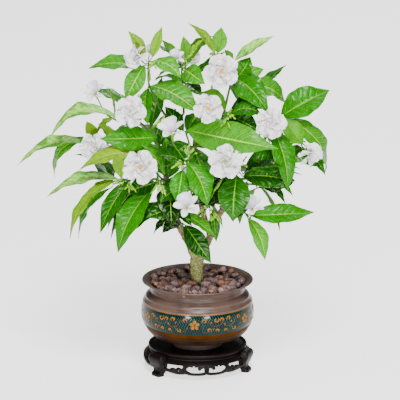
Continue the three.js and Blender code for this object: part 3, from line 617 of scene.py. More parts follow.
@dataclass(frozen=True)
class PetalFinish:
    """Thin white petal with a soft cream throat, fine radial veins and lavender-grey painted shade."""

    white: Colour = (0.61, 0.605, 0.59)
    # Lavender-grey painted shade; it also draws the fine veins.
    fold: Colour = (0.25, 0.235, 0.32)
    throat: Colour = (0.44, 0.37, 0.12)
    veins: float = 21

    def material(self) -> Material:
        """Lays out the petal's surface.

        Returns:
            The material.
        """
        g = Graph("petal")
        along, across, _ = g.marks()
        silk = g.noise(190, 4)
        lines = g.math("ABSOLUTE", g.math("SINE", g.times(across, self.veins)))
        # Painted shade: the fold colour laid in random silk patches, towards the petal's base and towards its sides;
        # it also draws the fine veins.
        body = g.mix(g.band(silk, 0.42, 0.68, 0.4), self.white, self.fold)
        for shade in (g.band(along, 0.6, 0.2, 0.55), g.band(lines, 0.3, 0.0, 0.10),
                      g.band(g.math("ABSOLUTE", across), 0.5, 1.0, 0.3)):
            body = g.mix(shade, body, self.fold)
        body = g.mix(g.band(along, 0.34, 0.04, 0.7), body, self.throat)
        return g.dress(g.mix(1, body, g.tint(), "MULTIPLY"), g.span(silk, 0.48, 0.62),
                       (g.math("ADD", g.times(lines, 0.4), silk), 0.0003, 0.4), Specular_IOR_Level=0.3,
                       Subsurface_Weight=0.25, Subsurface_Scale=0.003, Subsurface_Radius=(1.0, 1.0, 1.0),
                       Sheen_Weight=0.1)


@dataclass(frozen=True)
class StamenFinish:
    """Powdery orange-yellow point in the middle of a bloom."""

    colour: Colour = (0.38, 0.175, 0.003)
    dusty: Colour = (0.52, 0.320, 0.008)

    def material(self) -> Material:
        """Lays out the stamen's surface.

        Returns:
            The material.
        """
        g = Graph("stamen")
        dust = g.noise(900, 3)
        colour = g.mix(g.band(dust, 0.4, 0.75), self.colour, self.dusty)
        return g.dress(colour, g.span(dust, 0.6, 0.85), (dust, 0.0003, 0.6))


@dataclass(frozen=True)
class BarkFinish:
    """Olive bark with pale speckles, browner higher up."""

    green: Colour = (0.120, 0.122, 0.028)
    brown: Colour = (0.074, 0.049, 0.017)
    pale: Colour = (0.42, 0.40, 0.22)
    crack: Colour = (0.03, 0.03, 0.012)
    green_to: float = 0.178
    brown_from: float = 0.225

    def material(self) -> Material:
        """Lays out the bark's surface.

        Returns:
            The material.
        """
        g = Graph("bark")
        height = g.parts(g.place())[2]
        patches = g.noise(110, 4)
        speckle = g.noise(420, 5, 0.65)
        uneven = g.times(g.math("SUBTRACT", patches, 0.5), 1.1)
        climb = g.math("ADD", g.band(height, self.green_to, self.brown_from), uneven)
        body = g.mix(g.band(climb, 0.15, 0.8), self.green, self.brown)
        body = g.mix(g.band(speckle, 0.50, 0.62, 0.7), body, self.pale)
        body = g.mix(g.band(speckle, 0.46, 0.34, 0.55), body, self.crack)
        return g.dress(body, g.span(speckle, 0.62, 0.86),
                       (g.math("ADD", speckle, g.times(patches, 1.5)), 0.0012, 0.8), Specular_IOR_Level=0.2)


@dataclass(frozen=True)
class StoneFinish:
    """Rough porous lava stone, painted by tint."""

    lift: Colour = (1.42, 1.46, 1.44)
    shade: Colour = (0.012, 0.008, 0.008)
    dust: Colour = (0.36, 0.27, 0.26)
    # Near-black painted shade in the stone's pores.
    pore: Colour = (0.015, 0.01, 0.01)

    def material(self) -> Material:
        """Lays out the stone's surface.

        Returns:
            The material.
        """
        g = Graph("lava_stone")
        crumbs = g.noise(380, 6, 0.7)
        pores = g.node("ShaderNodeTexVoronoi", {"Vector": g.place(), "Scale": 520.0}).outputs["Distance"]
        tint = g.mix(1, g.tint(), self.lift, "MULTIPLY")
        body = g.mix(g.band(crumbs, 0.38, 0.62), g.mix(0.6, tint, self.shade), tint)
        body = g.mix(g.band(crumbs, 0.56, 0.74, 0.8), body, g.mix(0.35, tint, self.dust))
        # The pores are painted near-black: painted shade in the holes.
        return g.dress(g.mix(g.band(pores, 0.22, 0.05, 0.6), body, self.pore), g.span(crumbs, 0.7, 0.95),
                       (g.math("ADD", crumbs, g.band(pores, 0.0, 0.3)), 0.0012, 0.9), Specular_IOR_Level=0.3)


@dataclass(frozen=True)
class SoilFinish:
    """Dark crumbly soil."""

    dark: Colour = (0.012, 0.008, 0.005)
    dry: Colour = (0.07, 0.045, 0.028)

    def material(self) -> Material:
        """Lays out the soil's surface.

        Returns:
            The material.
        """
        g = Graph("soil")
        crumbs = g.noise(300, 6, 0.7)
        return g.dress(g.mix(g.band(crumbs, 0.35, 0.65), self.dark, self.dry), g.span(crumbs, 0.85, 1.0),
                       (crumbs, 0.003, 1.0))


@dataclass(frozen=True)
class ClayFinish:
    """Matt thrown clay with fine turning lines, cloudy patches, a little specular shine, and painted highlight:
    lighter colour on the raised turning ridges.
    """

    name: str
    body: Colour
    shade: Colour
    gloss: float
    lines: float
    shine: float
    stretch: Colour = (9.0, 9.0, 420.0)
    # How much lighter the painted highlight on the ridges is.
    ridge_highlight: float = 1.6
    ripples: float = 3400.0

    def material(self) -> Material:
        """Lays out the clay's surface.

        Returns:
            The material.
        """
        g = Graph(self.name)
        turning = g.noise(1.6, 4, 0.6, g.stretched(self.stretch))
        grit = g.noise(900, 3, 0.6)
        body = g.mix(g.band(g.noise(34, 4, 0.6), 0.25, 0.62), self.shade, self.body)
        # Painted highlight: lighter colour on the raised turning ridges.
        body = g.mix(g.band(turning, 0.45, 0.7, 0.35 * self.lines), body, tuple(self.ridge_highlight * c for c in self.body))
        body = g.mix(g.band(grit, 0.55, 0.75, 0.25), body, self.shade)
        rough = g.math("ADD", g.span(turning, self.gloss - 0.12, self.gloss + 0.1),
                       g.times(g.math("SUBTRACT", grit, 0.5), 0.2))
        ripple = g.times(g.math("SINE", g.times(g.parts(g.place())[2], self.ripples)), 0.18 * self.lines)
        relief = g.math("ADD", ripple, g.math("ADD", turning, g.times(grit, 0.35)))
        return g.dress(body, rough, (relief, 0.0004, 0.6), Specular_IOR_Level=self.shine)


BAND_RADIUS = 90.0


@dataclass(frozen=True)
class BandFinish:
    """Glossy teal glaze over a fine black scale hatch, its dashes and rows in metres."""

    teal: Colour = (0.0005, 0.052, 0.048)
    black: Colour = (0.0005, 0.0012, 0.0012)
    dash: float = 0.0044
    row: float = 0.0050
    lean: float = 0.9

    def material(self) -> Material:
        """Lays out the band's surface.

        Returns:
            The material.
        """
        g = Graph("band_glaze")
        x, y, z = g.parts(g.place())
        x, y = (g.math("SUBTRACT", side, float(middle * MM)) for side, middle in ((x, AXIS[0]), (y, AXIS[1])))
        around = g.times(g.math("ARCTAN2", x, g.times(y, -1.0)), BAND_RADIUS * MM / self.dash)
        rise = g.math("DIVIDE", z, self.row)
        hand = g.math("SUBTRACT", g.times(g.math("MODULO", g.math("FLOOR", rise), 2.0), 2.0), 1.0)
        lean = g.times(g.times(g.math("FRACT", rise), hand), self.lean)
        stripe = g.math("ABSOLUTE", g.math("SUBTRACT", g.math("FRACT", g.math("ADD", around, lean)), 0.5))
        ink = g.band(stripe, 0.38, 0.35)
        clouds = g.noise(70, 3)
        glaze = g.mix(g.band(clouds, 0.3, 0.7), tuple(0.5 * c for c in self.teal), self.teal)
        return g.dress(g.mix(g.times(ink, 0.99), glaze, self.black), g.span(clouds, 0.10, 0.16),
                       (ink, 0.0001, 0.2), Specular_IOR_Level=0.13)


@dataclass(frozen=True)
class GoldFinish:
    """Soft ochre gold enamel with uneven wear."""

    gold: Colour = (0.225, 0.088, 0.004)
    worn: Colour = (0.115, 0.042, 0.002)

    def material(self) -> Material:
        """Lays out the enamel's surface.

        Returns:
            The material.
        """
        g = Graph("gold_enamel")
        wear = g.noise(420, 4)
        return g.dress(g.mix(g.band(wear, 0.4, 0.66), self.gold, self.worn), g.span(wear, 0.3, 0.55),
                       (wear, 0.0002, 0.5), Metallic=0.2, Specular_IOR_Level=0.06)


@dataclass(frozen=True)
class LacquerFinish:
    """Black-brown lacquered wood with faint grain, browner random patches, and a painted brown highlight on its sharp
    edges.
    """

    dark: Colour = (0.0030, 0.0018, 0.0018)
    # Browner wood tone; on the sharp edges it serves as a painted highlight.
    warm: Colour = (0.008, 0.0034, 0.0016)
    stretch: Colour = (30.0, 30.0, 190.0)

    def material(self) -> Material:
        """Lays out the lacquer's surface.

        Returns:
            The material.
        """
        g = Graph("lacquer")
        grain = g.noise(1.4, 5, 0.6, g.stretched(self.stretch))
        clouds = g.noise(26, 3)
        edge_highlight = g.node("ShaderNodeNewGeometry").outputs["Pointiness"]
        body = self.dark
        # Browner along the grain and in random patches; the brown on sharp edges is a painted highlight.
        for wear in (g.band(grain, 0.5, 0.75, 0.35), g.band(clouds, 0.5, 0.75, 0.25), g.band(edge_highlight, 0.53, 0.62, 0.5)):
            body = g.mix(wear, body, self.warm)
        return g.dress(body, g.span(clouds, 0.36, 0.5), (grain, 0.0003, 0.35), Specular_IOR_Level=0.08)


# ---- leaves
class Tone(Enum):
    """Colour of a leaf by its age and light."""

    # Painted sheen: a pale silvery green that stands in for light glancing off the blade.
    SILVER = (0.255, 0.560, 0.085)
    LIME = (0.125, 0.245, 0.000)
    FRESH = (0.215, 0.440, 0.000)
    SOFT = (0.032, 0.205, 0.005)
    BRIGHT = (0.011, 0.135, 0.0)
    MID = (0.005, 0.074, 0.0)
    DEEP = (0.001, 0.038, 0.0)
    SHADE = (0.0005, 0.011, 0.000)


SILVER, LIME, FRESH, SOFT, BRIGHT, MID, DEEP, SHADE = Tone
LEANING = (0, 0.2, 1)
TIPPED = (0, 0.45, 0.9)
HALF = (0, 0.75, 0.65)
FRONT = (0, 1, 0.35)
UNDERSIDE = (0, -0.8, 0.6)
LEFTWARD = (-0.8, 0.4, 0.45)
LEFT_FRONT = (-0.45, 0.8, 0.4)
RIGHT_FRONT = (0.45, 0.8, 0.4)
RIGHTWARD = (0.8, 0.4, 0.45)
EDGEWISE = (1, 0.2, 0.1)

PETIOLE_RADIUS = 1.1
PETIOLE_TAPER = ((0, 0.3, 0.6, 1), (1.25, 1.0, 0.85, 0.3))
ROOT_DEPTH = 1.4
SESSILE = 3
VEIN_SPACING = 11
VEIN_SWEEP = 0.17
WAVES = 14.5
WAVE_SHARE = 0.05
RIB_THICKNESS = 1.5
LONG_STATIONS = (0.17, 0.45, 0.78)
SHORT_STATIONS = (0.3, 0.7)
LONG_LEAF = 58
NUDGES = ((0, 0, 0), (0, 0, 8), (0, 0, -8), (0, 14, 0), (0, -14, 0), (14, 0, 0), (-14, 0, 0))
DEPTHS = (0, 14, -14, 28, -28, 42, -42, 58, -58, 75, -75)
BENDS = [(across, rise, depth, arch) for across, rise, arch in NUDGES for depth in DEPTHS]


def breadth(s: Points) -> Points:
    """Returns a leaf's half width along its length, as a share of the widest."""
    s = np.clip(np.asarray(s, float), 0, 1)
    return np.clip(np.sin(np.pi * s ** 0.9), 0, 1) ** 0.9 * (1 - 0.3 * s ** 4)


@dataclass
class Leaf:
    """One leaf: a petiole and an arched, folded and waved blade."""

    base: Points
    tip: Points
    width: float
    facing: Points
    arch: float
    index: int
    tone: Tone = MID
    rows: int = 39
    columns: int = 13

    def bent(self, move: Sequence[float]) -> Leaf:
        """Bends the leaf.

        Args:
            move: How far its tip moves across, up and towards the eye, and what its arch gains.
        Returns:
            The bent leaf.
        """
        across, rise, depth, arch = move
        tip = self.tip + SIGHT * depth + SIGHT_UP * rise + np.array([across, 0, 0])
        return Leaf(self.base, tip, self.width, self.facing, self.arch + arch, self.index, self.tone)

    @property
    def length(self) -> float:
        """Distance from the blade's base to its tip."""
        return np.linalg.norm(self.tip - self.base)

    @property
    def fold(self) -> float:
        """Rise of the blade's edges, as a share of its half width."""
        return draw(0.12, 0.3, self.index, 3)

    @property
    def phase(self) -> float:
        """Where in its waves the blade starts."""
        return draw(0, 6.28, self.index, 4)

    def middle(self, s: Points) -> tuple[Points, Points, Points]:
        """Finds the blade's middle line.

        Args:
            s: Shares of its length.
        Returns:
            The line's points, and the blade's sideways and upward directions at each.
        """
        chord = self.tip - self.base
        axis = unit(chord)
        normal = square_to(axis, self.facing)
        side = np.cross(axis, normal)
        turn = draw(-0.35, 0.35, self.index, 1) * (s - 0.3)
        sweep = draw(-0.05, 0.05, self.index, 2) * self.length
        bow = 4 * s * (1 - s)
        cos, sin = np.cos(turn)[:, None], np.sin(turn)[:, None]
        line = self.base + chord * s[:, None] + normal * (self.arch * bow)[:, None] + side * (sweep * bow)[:, None]
        return line, side * cos + normal * sin, normal * cos - side * sin

    def survey(self) -> Points:
        """Lays out the blade as the frame's faceted solids have it.

        Returns:
            The points of its faceted copy.
        """
        s = np.array(LONG_STATIONS if self.length > LONG_LEAF else SHORT_STATIONS)
        line, across, up = self.middle(s)
        half = np.maximum(self.width / 2 * breadth(s), PETIOLE_RADIUS)[:, None]
        thick = (RIB_THICKNESS / 2 * (1 - 0.5 * s))[:, None]
        edges = []
        for hand in (1, -1):
            wave = (WAVE_SHARE * self.width * np.sin(WAVES * s + self.phase + hand) * np.sin(np.pi * s))[:, None]
            edges.append(line + across * hand * half + up * (self.fold * half + wave))
        return np.concatenate([*edges, line + up * thick, line - up * thick, self.tip[None]])

    def grow(self, skin: Skin, line: Points) -> None:
        """Adds the blade and its petiole to a skin.

        Args:
            skin: The skin.
            line: The stem's line.
        """
        s = np.linspace(0, 1, self.rows)[:, None] ** 0.95
        w = np.linspace(-1, 1, self.columns)[None, :]
        aside = np.abs(w)
        middle, across, up = (part[:, None] for part in self.middle(s[:, 0]))
        outline = breadth(s) * (1 - 0.35 * np.clip((s - 0.8) / 0.2, 0, 1) ** 2 * (1 - s) * 5)
        half = np.maximum(self.width / 2 * outline, 0.35 * (1 - s) + 0.05)
        long, wide = np.sin(np.pi * s), np.sin(np.pi * aside ** 0.8)
        beat = round(self.length / VEIN_SPACING) * (s - VEIN_SWEEP * aside ** 1.25) + draw(0, 1, self.index, 12)
        ripple = np.sin(WAVES * s + self.phase + w) + 0.45 * np.sin(31 * s + 2 * self.phase)
        wave = WAVE_SHARE * self.width * ripple * long * aside ** 2.2
        quilt = 0.105 * half * (np.abs(np.sin(np.pi * beat)) ** 0.8 - 0.5) * (wide * long)
        swell = draw(0.05, 0.14, self.index, 11) * half * wide
        height = self.fold * half * aside ** 1.4 + wave + swell + quilt
        surface = middle + across * (w * half)[..., None] + up * height[..., None]
        rib = 0.5 * (1 - 0.75 * s) * np.exp(-(aside * half / 0.9) ** 2)
        body = 0.16 + 0.14 * (1 - aside) * np.ones_like(half)
        shift, warm = draw(0.86, 1.14, self.index, 13), draw(0.9, 1.12, self.index, 14)
        # The tone, with the painted light and shade it holds, colours the blade and, paler, its petiole.
        red, green, blue = self.tone.value
        skin.sheet(surface + up * (body + 0.25 * rib)[..., None], surface - up * (body + rib)[..., None], 0,
                   np.stack(np.broadcast_arrays(s, w, beat), -1), (red * shift * warm, green * shift, blue * shift))
        near = line[nearest(line, self.base)]
        short = np.linalg.norm(near - self.base) < SESSILE
        leave = unit(self.tip - self.base) if short else unit(self.base - near)
        path = spline([near - leave * ROOT_DEPTH, near + leave * 0.6, self.base, middle[2, 0], middle[5, 0]], 4)
        thick = np.interp(np.linspace(0, 1, len(path)), *PETIOLE_TAPER)
        skin.tube(path, thick, 8, 1, (0.7 * red + 0.018, 0.75 * green + 0.06, 0.5 * blue, 1))


# ---- blooms
class Kind(Enum):
    """Form of a bloom, and the colour of its eye."""

    DOUBLE = "double"
    AMBER = "double with an amber eye"
    CREAM = "double with a greenish heart"
    STAR = "star"


DOUBLE, AMBER, CREAM, STAR = Kind
TUBE_LENGTH = 17
STALK_RADIUS = 1.1
STALK_TINT = (0.036, 0.165, 0.001, 1)
TUBE_STATIONS = (-TUBE_LENGTH, -15.5, -12, -6, -2, 1)
TUBE_RADII = (STALK_RADIUS, 1.6, 1.7, 2.2, 2.7, 3.4)
TUBE_TINT = (0.10, 0.27, 0.006, 1)
STAMEN_STATIONS = (3.5, 5.8, 7.6, 8.8)
STAMEN_RADII = (1.6, 3.1, 2.5, 0.4)


@dataclass(frozen=True)
class Whorl:
    """A ring of petals: their count, length, width and rise from the bloom's face at root and end, in degrees.

    The lean turns each petal under its neighbour, also in degrees, and the cup is its hollow.
    """

    count: int
    length: float
    width: float
    start: float
    end: float
    ruffle: float
    throat: float = 2.1
    lean: float = 24
    cup: float = 0.2


FULL = (Whorl(5, 25, 31, 32, -14, 1.0, lean=26), Whorl(5, 19.5, 25, 54, 8, 0.9, lean=32),
        Whorl(4, 14, 18, 74, 34, 0.6, 1.6, 38, 0.3), Whorl(3, 8.5, 12, 84, 60, 0.3, 0.9, 42, 0.4))
WHORLS = {DOUBLE: FULL, AMBER: FULL, CREAM: FULL, STAR: (Whorl(5, 27, 16.5, 66, 10, 0.25, lean=16, cup=0.5),)}
# Tints of the inner petals and of a star's upright petal: the hearts' cream, amber and green are their own colour; the
# star's lavender is painted shade in its deep cup.
PETAL_SHADES = {DOUBLE: (1.0, 0.94, 0.915), AMBER: (1.0, 0.90, 0.70), CREAM: (0.80, 0.83, 0.56),
                STAR: (0.86, 0.86, 0.96)}
OUTER_WIDTH = 20
UPRIGHT_SPIN = 0.35
UPRIGHT_BREADTH = 1.75
STAR_BREADTH = 0.84


@dataclass
class Bloom:
    """One bloom: a tube, whorls of petals and, in an amber-eyed one, a small stamen point."""

    kind: Kind
    at: Points
    axis: Points
    size: float
    index: int
    rows: int = 15

    @property
    def node(self) -> str:
        """Name of the frame's node that this bloom stands for."""
        return f"bloom_{self.index:02d}"

    def petal(self, skin: Skin, whorl: Whorl, number: int) -> None:
        """Adds one petal.

        Args:
            skin: The bloom's skin.
            whorl: The ring that it belongs to.
            number: Its place in the ring.
        """
        start, end = math.radians(whorl.start), math.radians(whorl.end)
        star, outer = self.kind is STAR, whorl.width > OUTER_WIDTH
        upright = star and number == 0
        across = square_to(self.axis, np.array([0, 0, 1.0]))
        spin = UPRIGHT_SPIN if star else draw(0, 6, self.index, int(40 + whorl.count * whorl.length))
        turn = 2 * np.pi * (number + draw(-0.08, 0.08, self.index, number)) / whorl.count + spin
        way = across * np.cos(turn) + np.cross(self.axis, across) * np.sin(turn)
        s = np.linspace(0, 1, self.rows)[:, None]
        w = np.linspace(-1, 1, 29 if outer else 17)[None, :]
        aside = np.abs(w)
        seed = self.index * 31 + number * 7 + int(whorl.length)
        notch = 0.035 * np.sin(5.2 * w + draw(0, 6, seed, 1)) + 0.016 * np.sin(17 * w + draw(0, 6, seed, 2))
        along = s * (1 - 0.3 * aside ** 2.6 + whorl.ruffle * notch)
        angle = start + (end - start) * along
        reach = whorl.length * (np.sin(angle) - np.sin(start)) / (end - start)
        rise = -whorl.length * (np.cos(angle) - np.cos(start)) / (end - start)
        cos, sin = np.cos(angle)[..., None], np.sin(angle)[..., None]
        up, flat = self.axis * cos - way * sin, way * cos + self.axis * sin
        lean = math.radians(whorl.lean + draw(-6, 6, seed, 5))
        side = np.cross(flat, up) * math.cos(lean) + up * math.sin(lean)
        outline = 0.16 + 0.84 * np.sin(np.pi * (0.62 * along) ** 1.25)
        share = UPRIGHT_BREADTH if upright else STAR_BREADTH if star else 1
        half = whorl.width / 2 * outline * self.size * share
        middle = (self.at + way * ((whorl.throat + reach) * self.size)[..., None]
                  + self.axis * ((rise - 1) * self.size)[..., None])
        rim = np.maximum(s ** 2, aside ** 2.5 * s)
        frill = whorl.ruffle * self.size * (
            2.1 * np.sin(6.5 * w + 2 * s + draw(0, 6, seed, 3)) * s ** 1.5 * aside ** 0.6
            + 0.6 * np.sin((19 + draw(-3, 3, seed, 7)) * w + 3 * s + draw(0, 6, seed, 4)) * rim * s ** 1.5
            + 0.45 * np.sin(11 * w + 13 * s + draw(0, 6, seed, 6)) * s)
        cup = whorl.cup * half * w ** 2 + 0.5 * np.sin(np.pi * s) * (1 - w ** 2) + frill
        surface = middle + side * (w * half)[..., None] + up * cup[..., None]
        body = up * ((0.22 + 0.2 * (1 - s) * (1 - w ** 2)) * np.ones_like(cup))[..., None]
        marks = np.stack(np.broadcast_arrays(s, w, float(number)), -1)
        # Inner petals take their heart's tint; a star's upright petal takes the painted lavender shade.
        shaded = upright or not (star or outer)
        skin.sheet(surface + body, surface - body, 0, marks, PETAL_SHADES[self.kind] if shaded else PLAIN)

    def build(self, finishes: Sequence[Material]) -> None:
        """Makes the bloom's piece.

        Args:
            finishes: Petal, stem and stamen materials.
        """
        skin = Skin()
        for whorl in WHORLS[self.kind]:
            for number in range(whorl.count):
                self.petal(skin, whorl, number)
        steps = np.array(TUBE_STATIONS)[:, None] * self.size
        skin.tube(self.at + steps * self.axis, np.array(TUBE_RADII) * self.size, 14, 1, TUBE_TINT)
        if self.kind is AMBER:
            steps = np.array(STAMEN_STATIONS)[:, None] * self.size
            skin.tube(self.at + steps * self.axis, STAMEN_RADII, 10, 2)
        piece = skin.make(self.node + "_petals", finishes, crease=70)
        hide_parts(self.node)


# ---- the crown
STEM_RADIUS = 1.9
TWIG_RADIUS = 2.6
TWIG_SAG = np.array([0, 0, -1.0])
BUDS_IN_A_CLUSTER = 2
BUDS_BESIDE = 4
BUD_STALK = 0.6
BUD_FOOT = 0.53
BUD_SHAPE = ((0, 0.55, 0.62, 0.7, 0.8, 0.88, 0.96, 1), (0.55, 0.5, 0.7, 0.85, 1.45, 1.4, 0.7, 0.2))
BUD_STALK_TINT = (0.036, 0.16, 0.001, 1)
FILL_TONES = (BRIGHT, MID, MID, DEEP)
NODE_STEP = 0.36


@dataclass
class Limb:
    """A woody limb: its surveyed spots with a radius each."""

    spots: Sequence[Spot]
    radii: Sequence[float]
    sides: int = 28

    def line(self) -> Points:
        """Returns its surveyed points."""
        return np.array([seen(spot) for spot in self.spots])


LIMBS = (
    Limb([(0, 94.5, 0), (0, 130, 0), (-1, 152, 0), (-1, 172, 0), (-0.5, 184, 0)], (9.6, 9.6, 9.8, 11.2, 9)),
    Limb([(-3, 174, 0), (-13, 197, 4), (-25, 218, 10), (-38, 245, 14), (-50, 285, 18), (-48, 330, 16),
          (-38, 380, 12)], (8.2, 7, 6.2, 5.4, 4.8, 4.2, 3.4)),
    Limb([(1, 176, 0), (12, 192, 0), (19, 206, -1), (27, 232, -3), (46, 262, -5), (54, 300, -6), (48, 345, -6),
          (36, 390, -4)], (8, 6.6, 5.8, 5.4, 5, 4.6, 4.2, 3.4)),
    Limb([(20, 210, -1), (8, 250, -26), (0, 300, -44), (-4, 350, -50), (-2, 400, -44)], (5.4, 4.8, 4.4, 4, 3.2)),
)
LIMB_POINTS = np.concatenate([limb.line() for limb in LIMBS[1:]])


@dataclass
class Shoot:
    """A leafy stem.

    Its leaves and its inner leaves are (base, tip, width, facing, arch, tone), its flowers (kind, centre, facing,
    size), its buds the spots of clusters, and its fill (pairs, shortest, longest) of opposite leaves along the path.
    """

    path: Sequence[Spot]
    leaves: Sequence[tuple] = ()
    inner: Sequence[tuple] = ()
    flowers: Sequence[tuple] = ()
    buds: Sequence[Spot] = ()
    fill: tuple[int, float, float] | None = None
    number: int = 0
    grown: list[Leaf] = field(default_factory=list)
    blooms: list[Bloom] = field(default_factory=list)
    clusters: list[tuple[Points, int, int]] = field(default_factory=list)

    @property
    def node(self) -> str:
        """Name of the frame's node that this shoot stands for."""
        return f"leafy_stem_{self.number:02d}"

    @property
    def start(self) -> Points:
        """Where the green stem leaves its woody twig."""
        return seen(self.path[0])

    @property
    def root(self) -> Points:
        """Where the twig leaves its limb."""
        return LIMB_POINTS[nearest(LIMB_POINTS, self.start)]

    def line(self) -> Points:
        """Runs a line along the stem.

        Returns:
            Its points.
        """
        lead = unit(self.start - self.root)
        spots = [self.start + lead * GAP, *[seen(spot) for spot in self.path[1:]]]
        return np.array(spots) if len(spots) > 3 else spline(spots, 2)

    def fine(self) -> Points:
        """Returns the stem's line in short steps."""
        return dense(self.line())

    def filled(self, indices: Iterator[int]) -> list[Leaf]:
        """Lists the opposite leaves in pairs along the stem, each pair a quarter turn from the last.

        Args:
            indices: The numbers that they take theirs from.
        Returns:
            The leaves.
        """
        if not self.fill:
            return []
        pairs, shortest, longest = self.fill
        line = self.fine()
        made = []
        for k, index in zip(range(2 * pairs), indices):
            level = k // 2
            at = len(line) - 1 - math.floor((len(line) - 2) * NODE_STEP * level + 0.5)
            axis = unit(line[at] - line[at - 1])
            one = square_to(axis, np.array([0, 0, 1.0]))
            turn = math.pi * (k % 2) + math.pi / 2 * level + draw(0.5, 1.1, index, 5)
            out = one * math.cos(turn) + np.cross(axis, one) * math.sin(turn)
            way = out * 0.8 + axis * draw(0.5, 0.8, index, 6)
            way[2] -= draw(0.1, 0.4, index, 7)
            way = unit(way)
            length = draw(shortest, longest, index, 8)
            tone = FILL_TONES[int(draw(0, 3.99, index, 15))]
            made.append(Leaf(line[at] + way * 7, line[at] + way * length, length * draw(0.28, 0.36, index, 9),
                             np.array([way[0] * 0.4, way[1] * 0.4, 1]), length * draw(0.06, 0.14, index, 10), index,
                             tone))
        return made

    def stem_tint(self) -> tuple[float, float, float, float]:
        """Returns the stem's own green."""
        lift = draw(0.8, 1.25, self.number, 21)
        return 0.032 * lift, 0.130 * lift, 0.001, 1

    def bud(self, skin: Skin, root: Points, tip: Points, index: int) -> None:
        """Adds a slender bud on its stalk.

        Args:
            skin: The shoot's skin.
            root: Where the stalk leaves the stem.
            tip: The bud's tip.
            index: Number of its draws.
        """
        line = spline([root, (root + tip) / 2 + offset(index, 31, (-2, 2), (-2, 2), (-1, 4)), tip], 9)
        share = np.linspace(0, 1, len(line))
        radii = np.interp(share, *BUD_SHAPE)
        stalk, body = share < BUD_STALK, share > BUD_FOOT
        skin.tube(line[stalk], radii[stalk], 7, 1, BUD_STALK_TINT)
        cream = draw(0, 1, index, 34)
        skin.tube(line[body], radii[body], 9, 1,
                  (0.15 + 0.12 * cream, 0.40 + 0.08 * cream, 0.003 + 0.03 * cream, 1))

    def build(self, finishes: Sequence[Material]) -> None:
        """Makes the shoot's piece.

        Args:
            finishes: Leaf and stem materials.
        """
        skin = Skin()
        line = self.fine()
        stem = spline(self.line(), 8)
        swell = 1 + 0.16 * np.abs(np.sin(np.linspace(0, 3 * np.pi, len(stem)))) ** 8
        skin.tube(stem, STEM_RADIUS * np.linspace(1.05, 0.72, len(stem)) * swell, 10, 1, self.stem_tint())
        for bloom in self.blooms:
            foot = bloom.at - bloom.axis * (TUBE_LENGTH * bloom.size + GAP)
            bend = foot - bloom.axis * 7
            path = spline([line[nearest(line, bend)], bend, foot], 8)
            skin.tube(path, np.linspace(1.0, STALK_RADIUS, len(path)), 8, 1, STALK_TINT)
        for place, index, number in self.clusters:
            root = line[max(nearest(line, place) - 5 * number, 0)]
            tip = place + offset(index, 1, (-7, 7), (-6, 3), (-5, 6))
            self.bud(skin, root, tip, index)
            for k in range(BUDS_BESIDE):
                wider = 1.35 if k > 1 else 1
                near = tip + wider * offset(index, 41 + 10 * k, (-6, 6), (-4, 4), (-7, 5), step=2)
                self.bud(skin, root + (tip - root) * 0.25, near, index + 500 * (k + 1))
        for leaf in self.grown:
            leaf.grow(skin, line)
        piece = skin.make(self.node + "_leaves", finishes, crease=75)
        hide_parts(self.node)


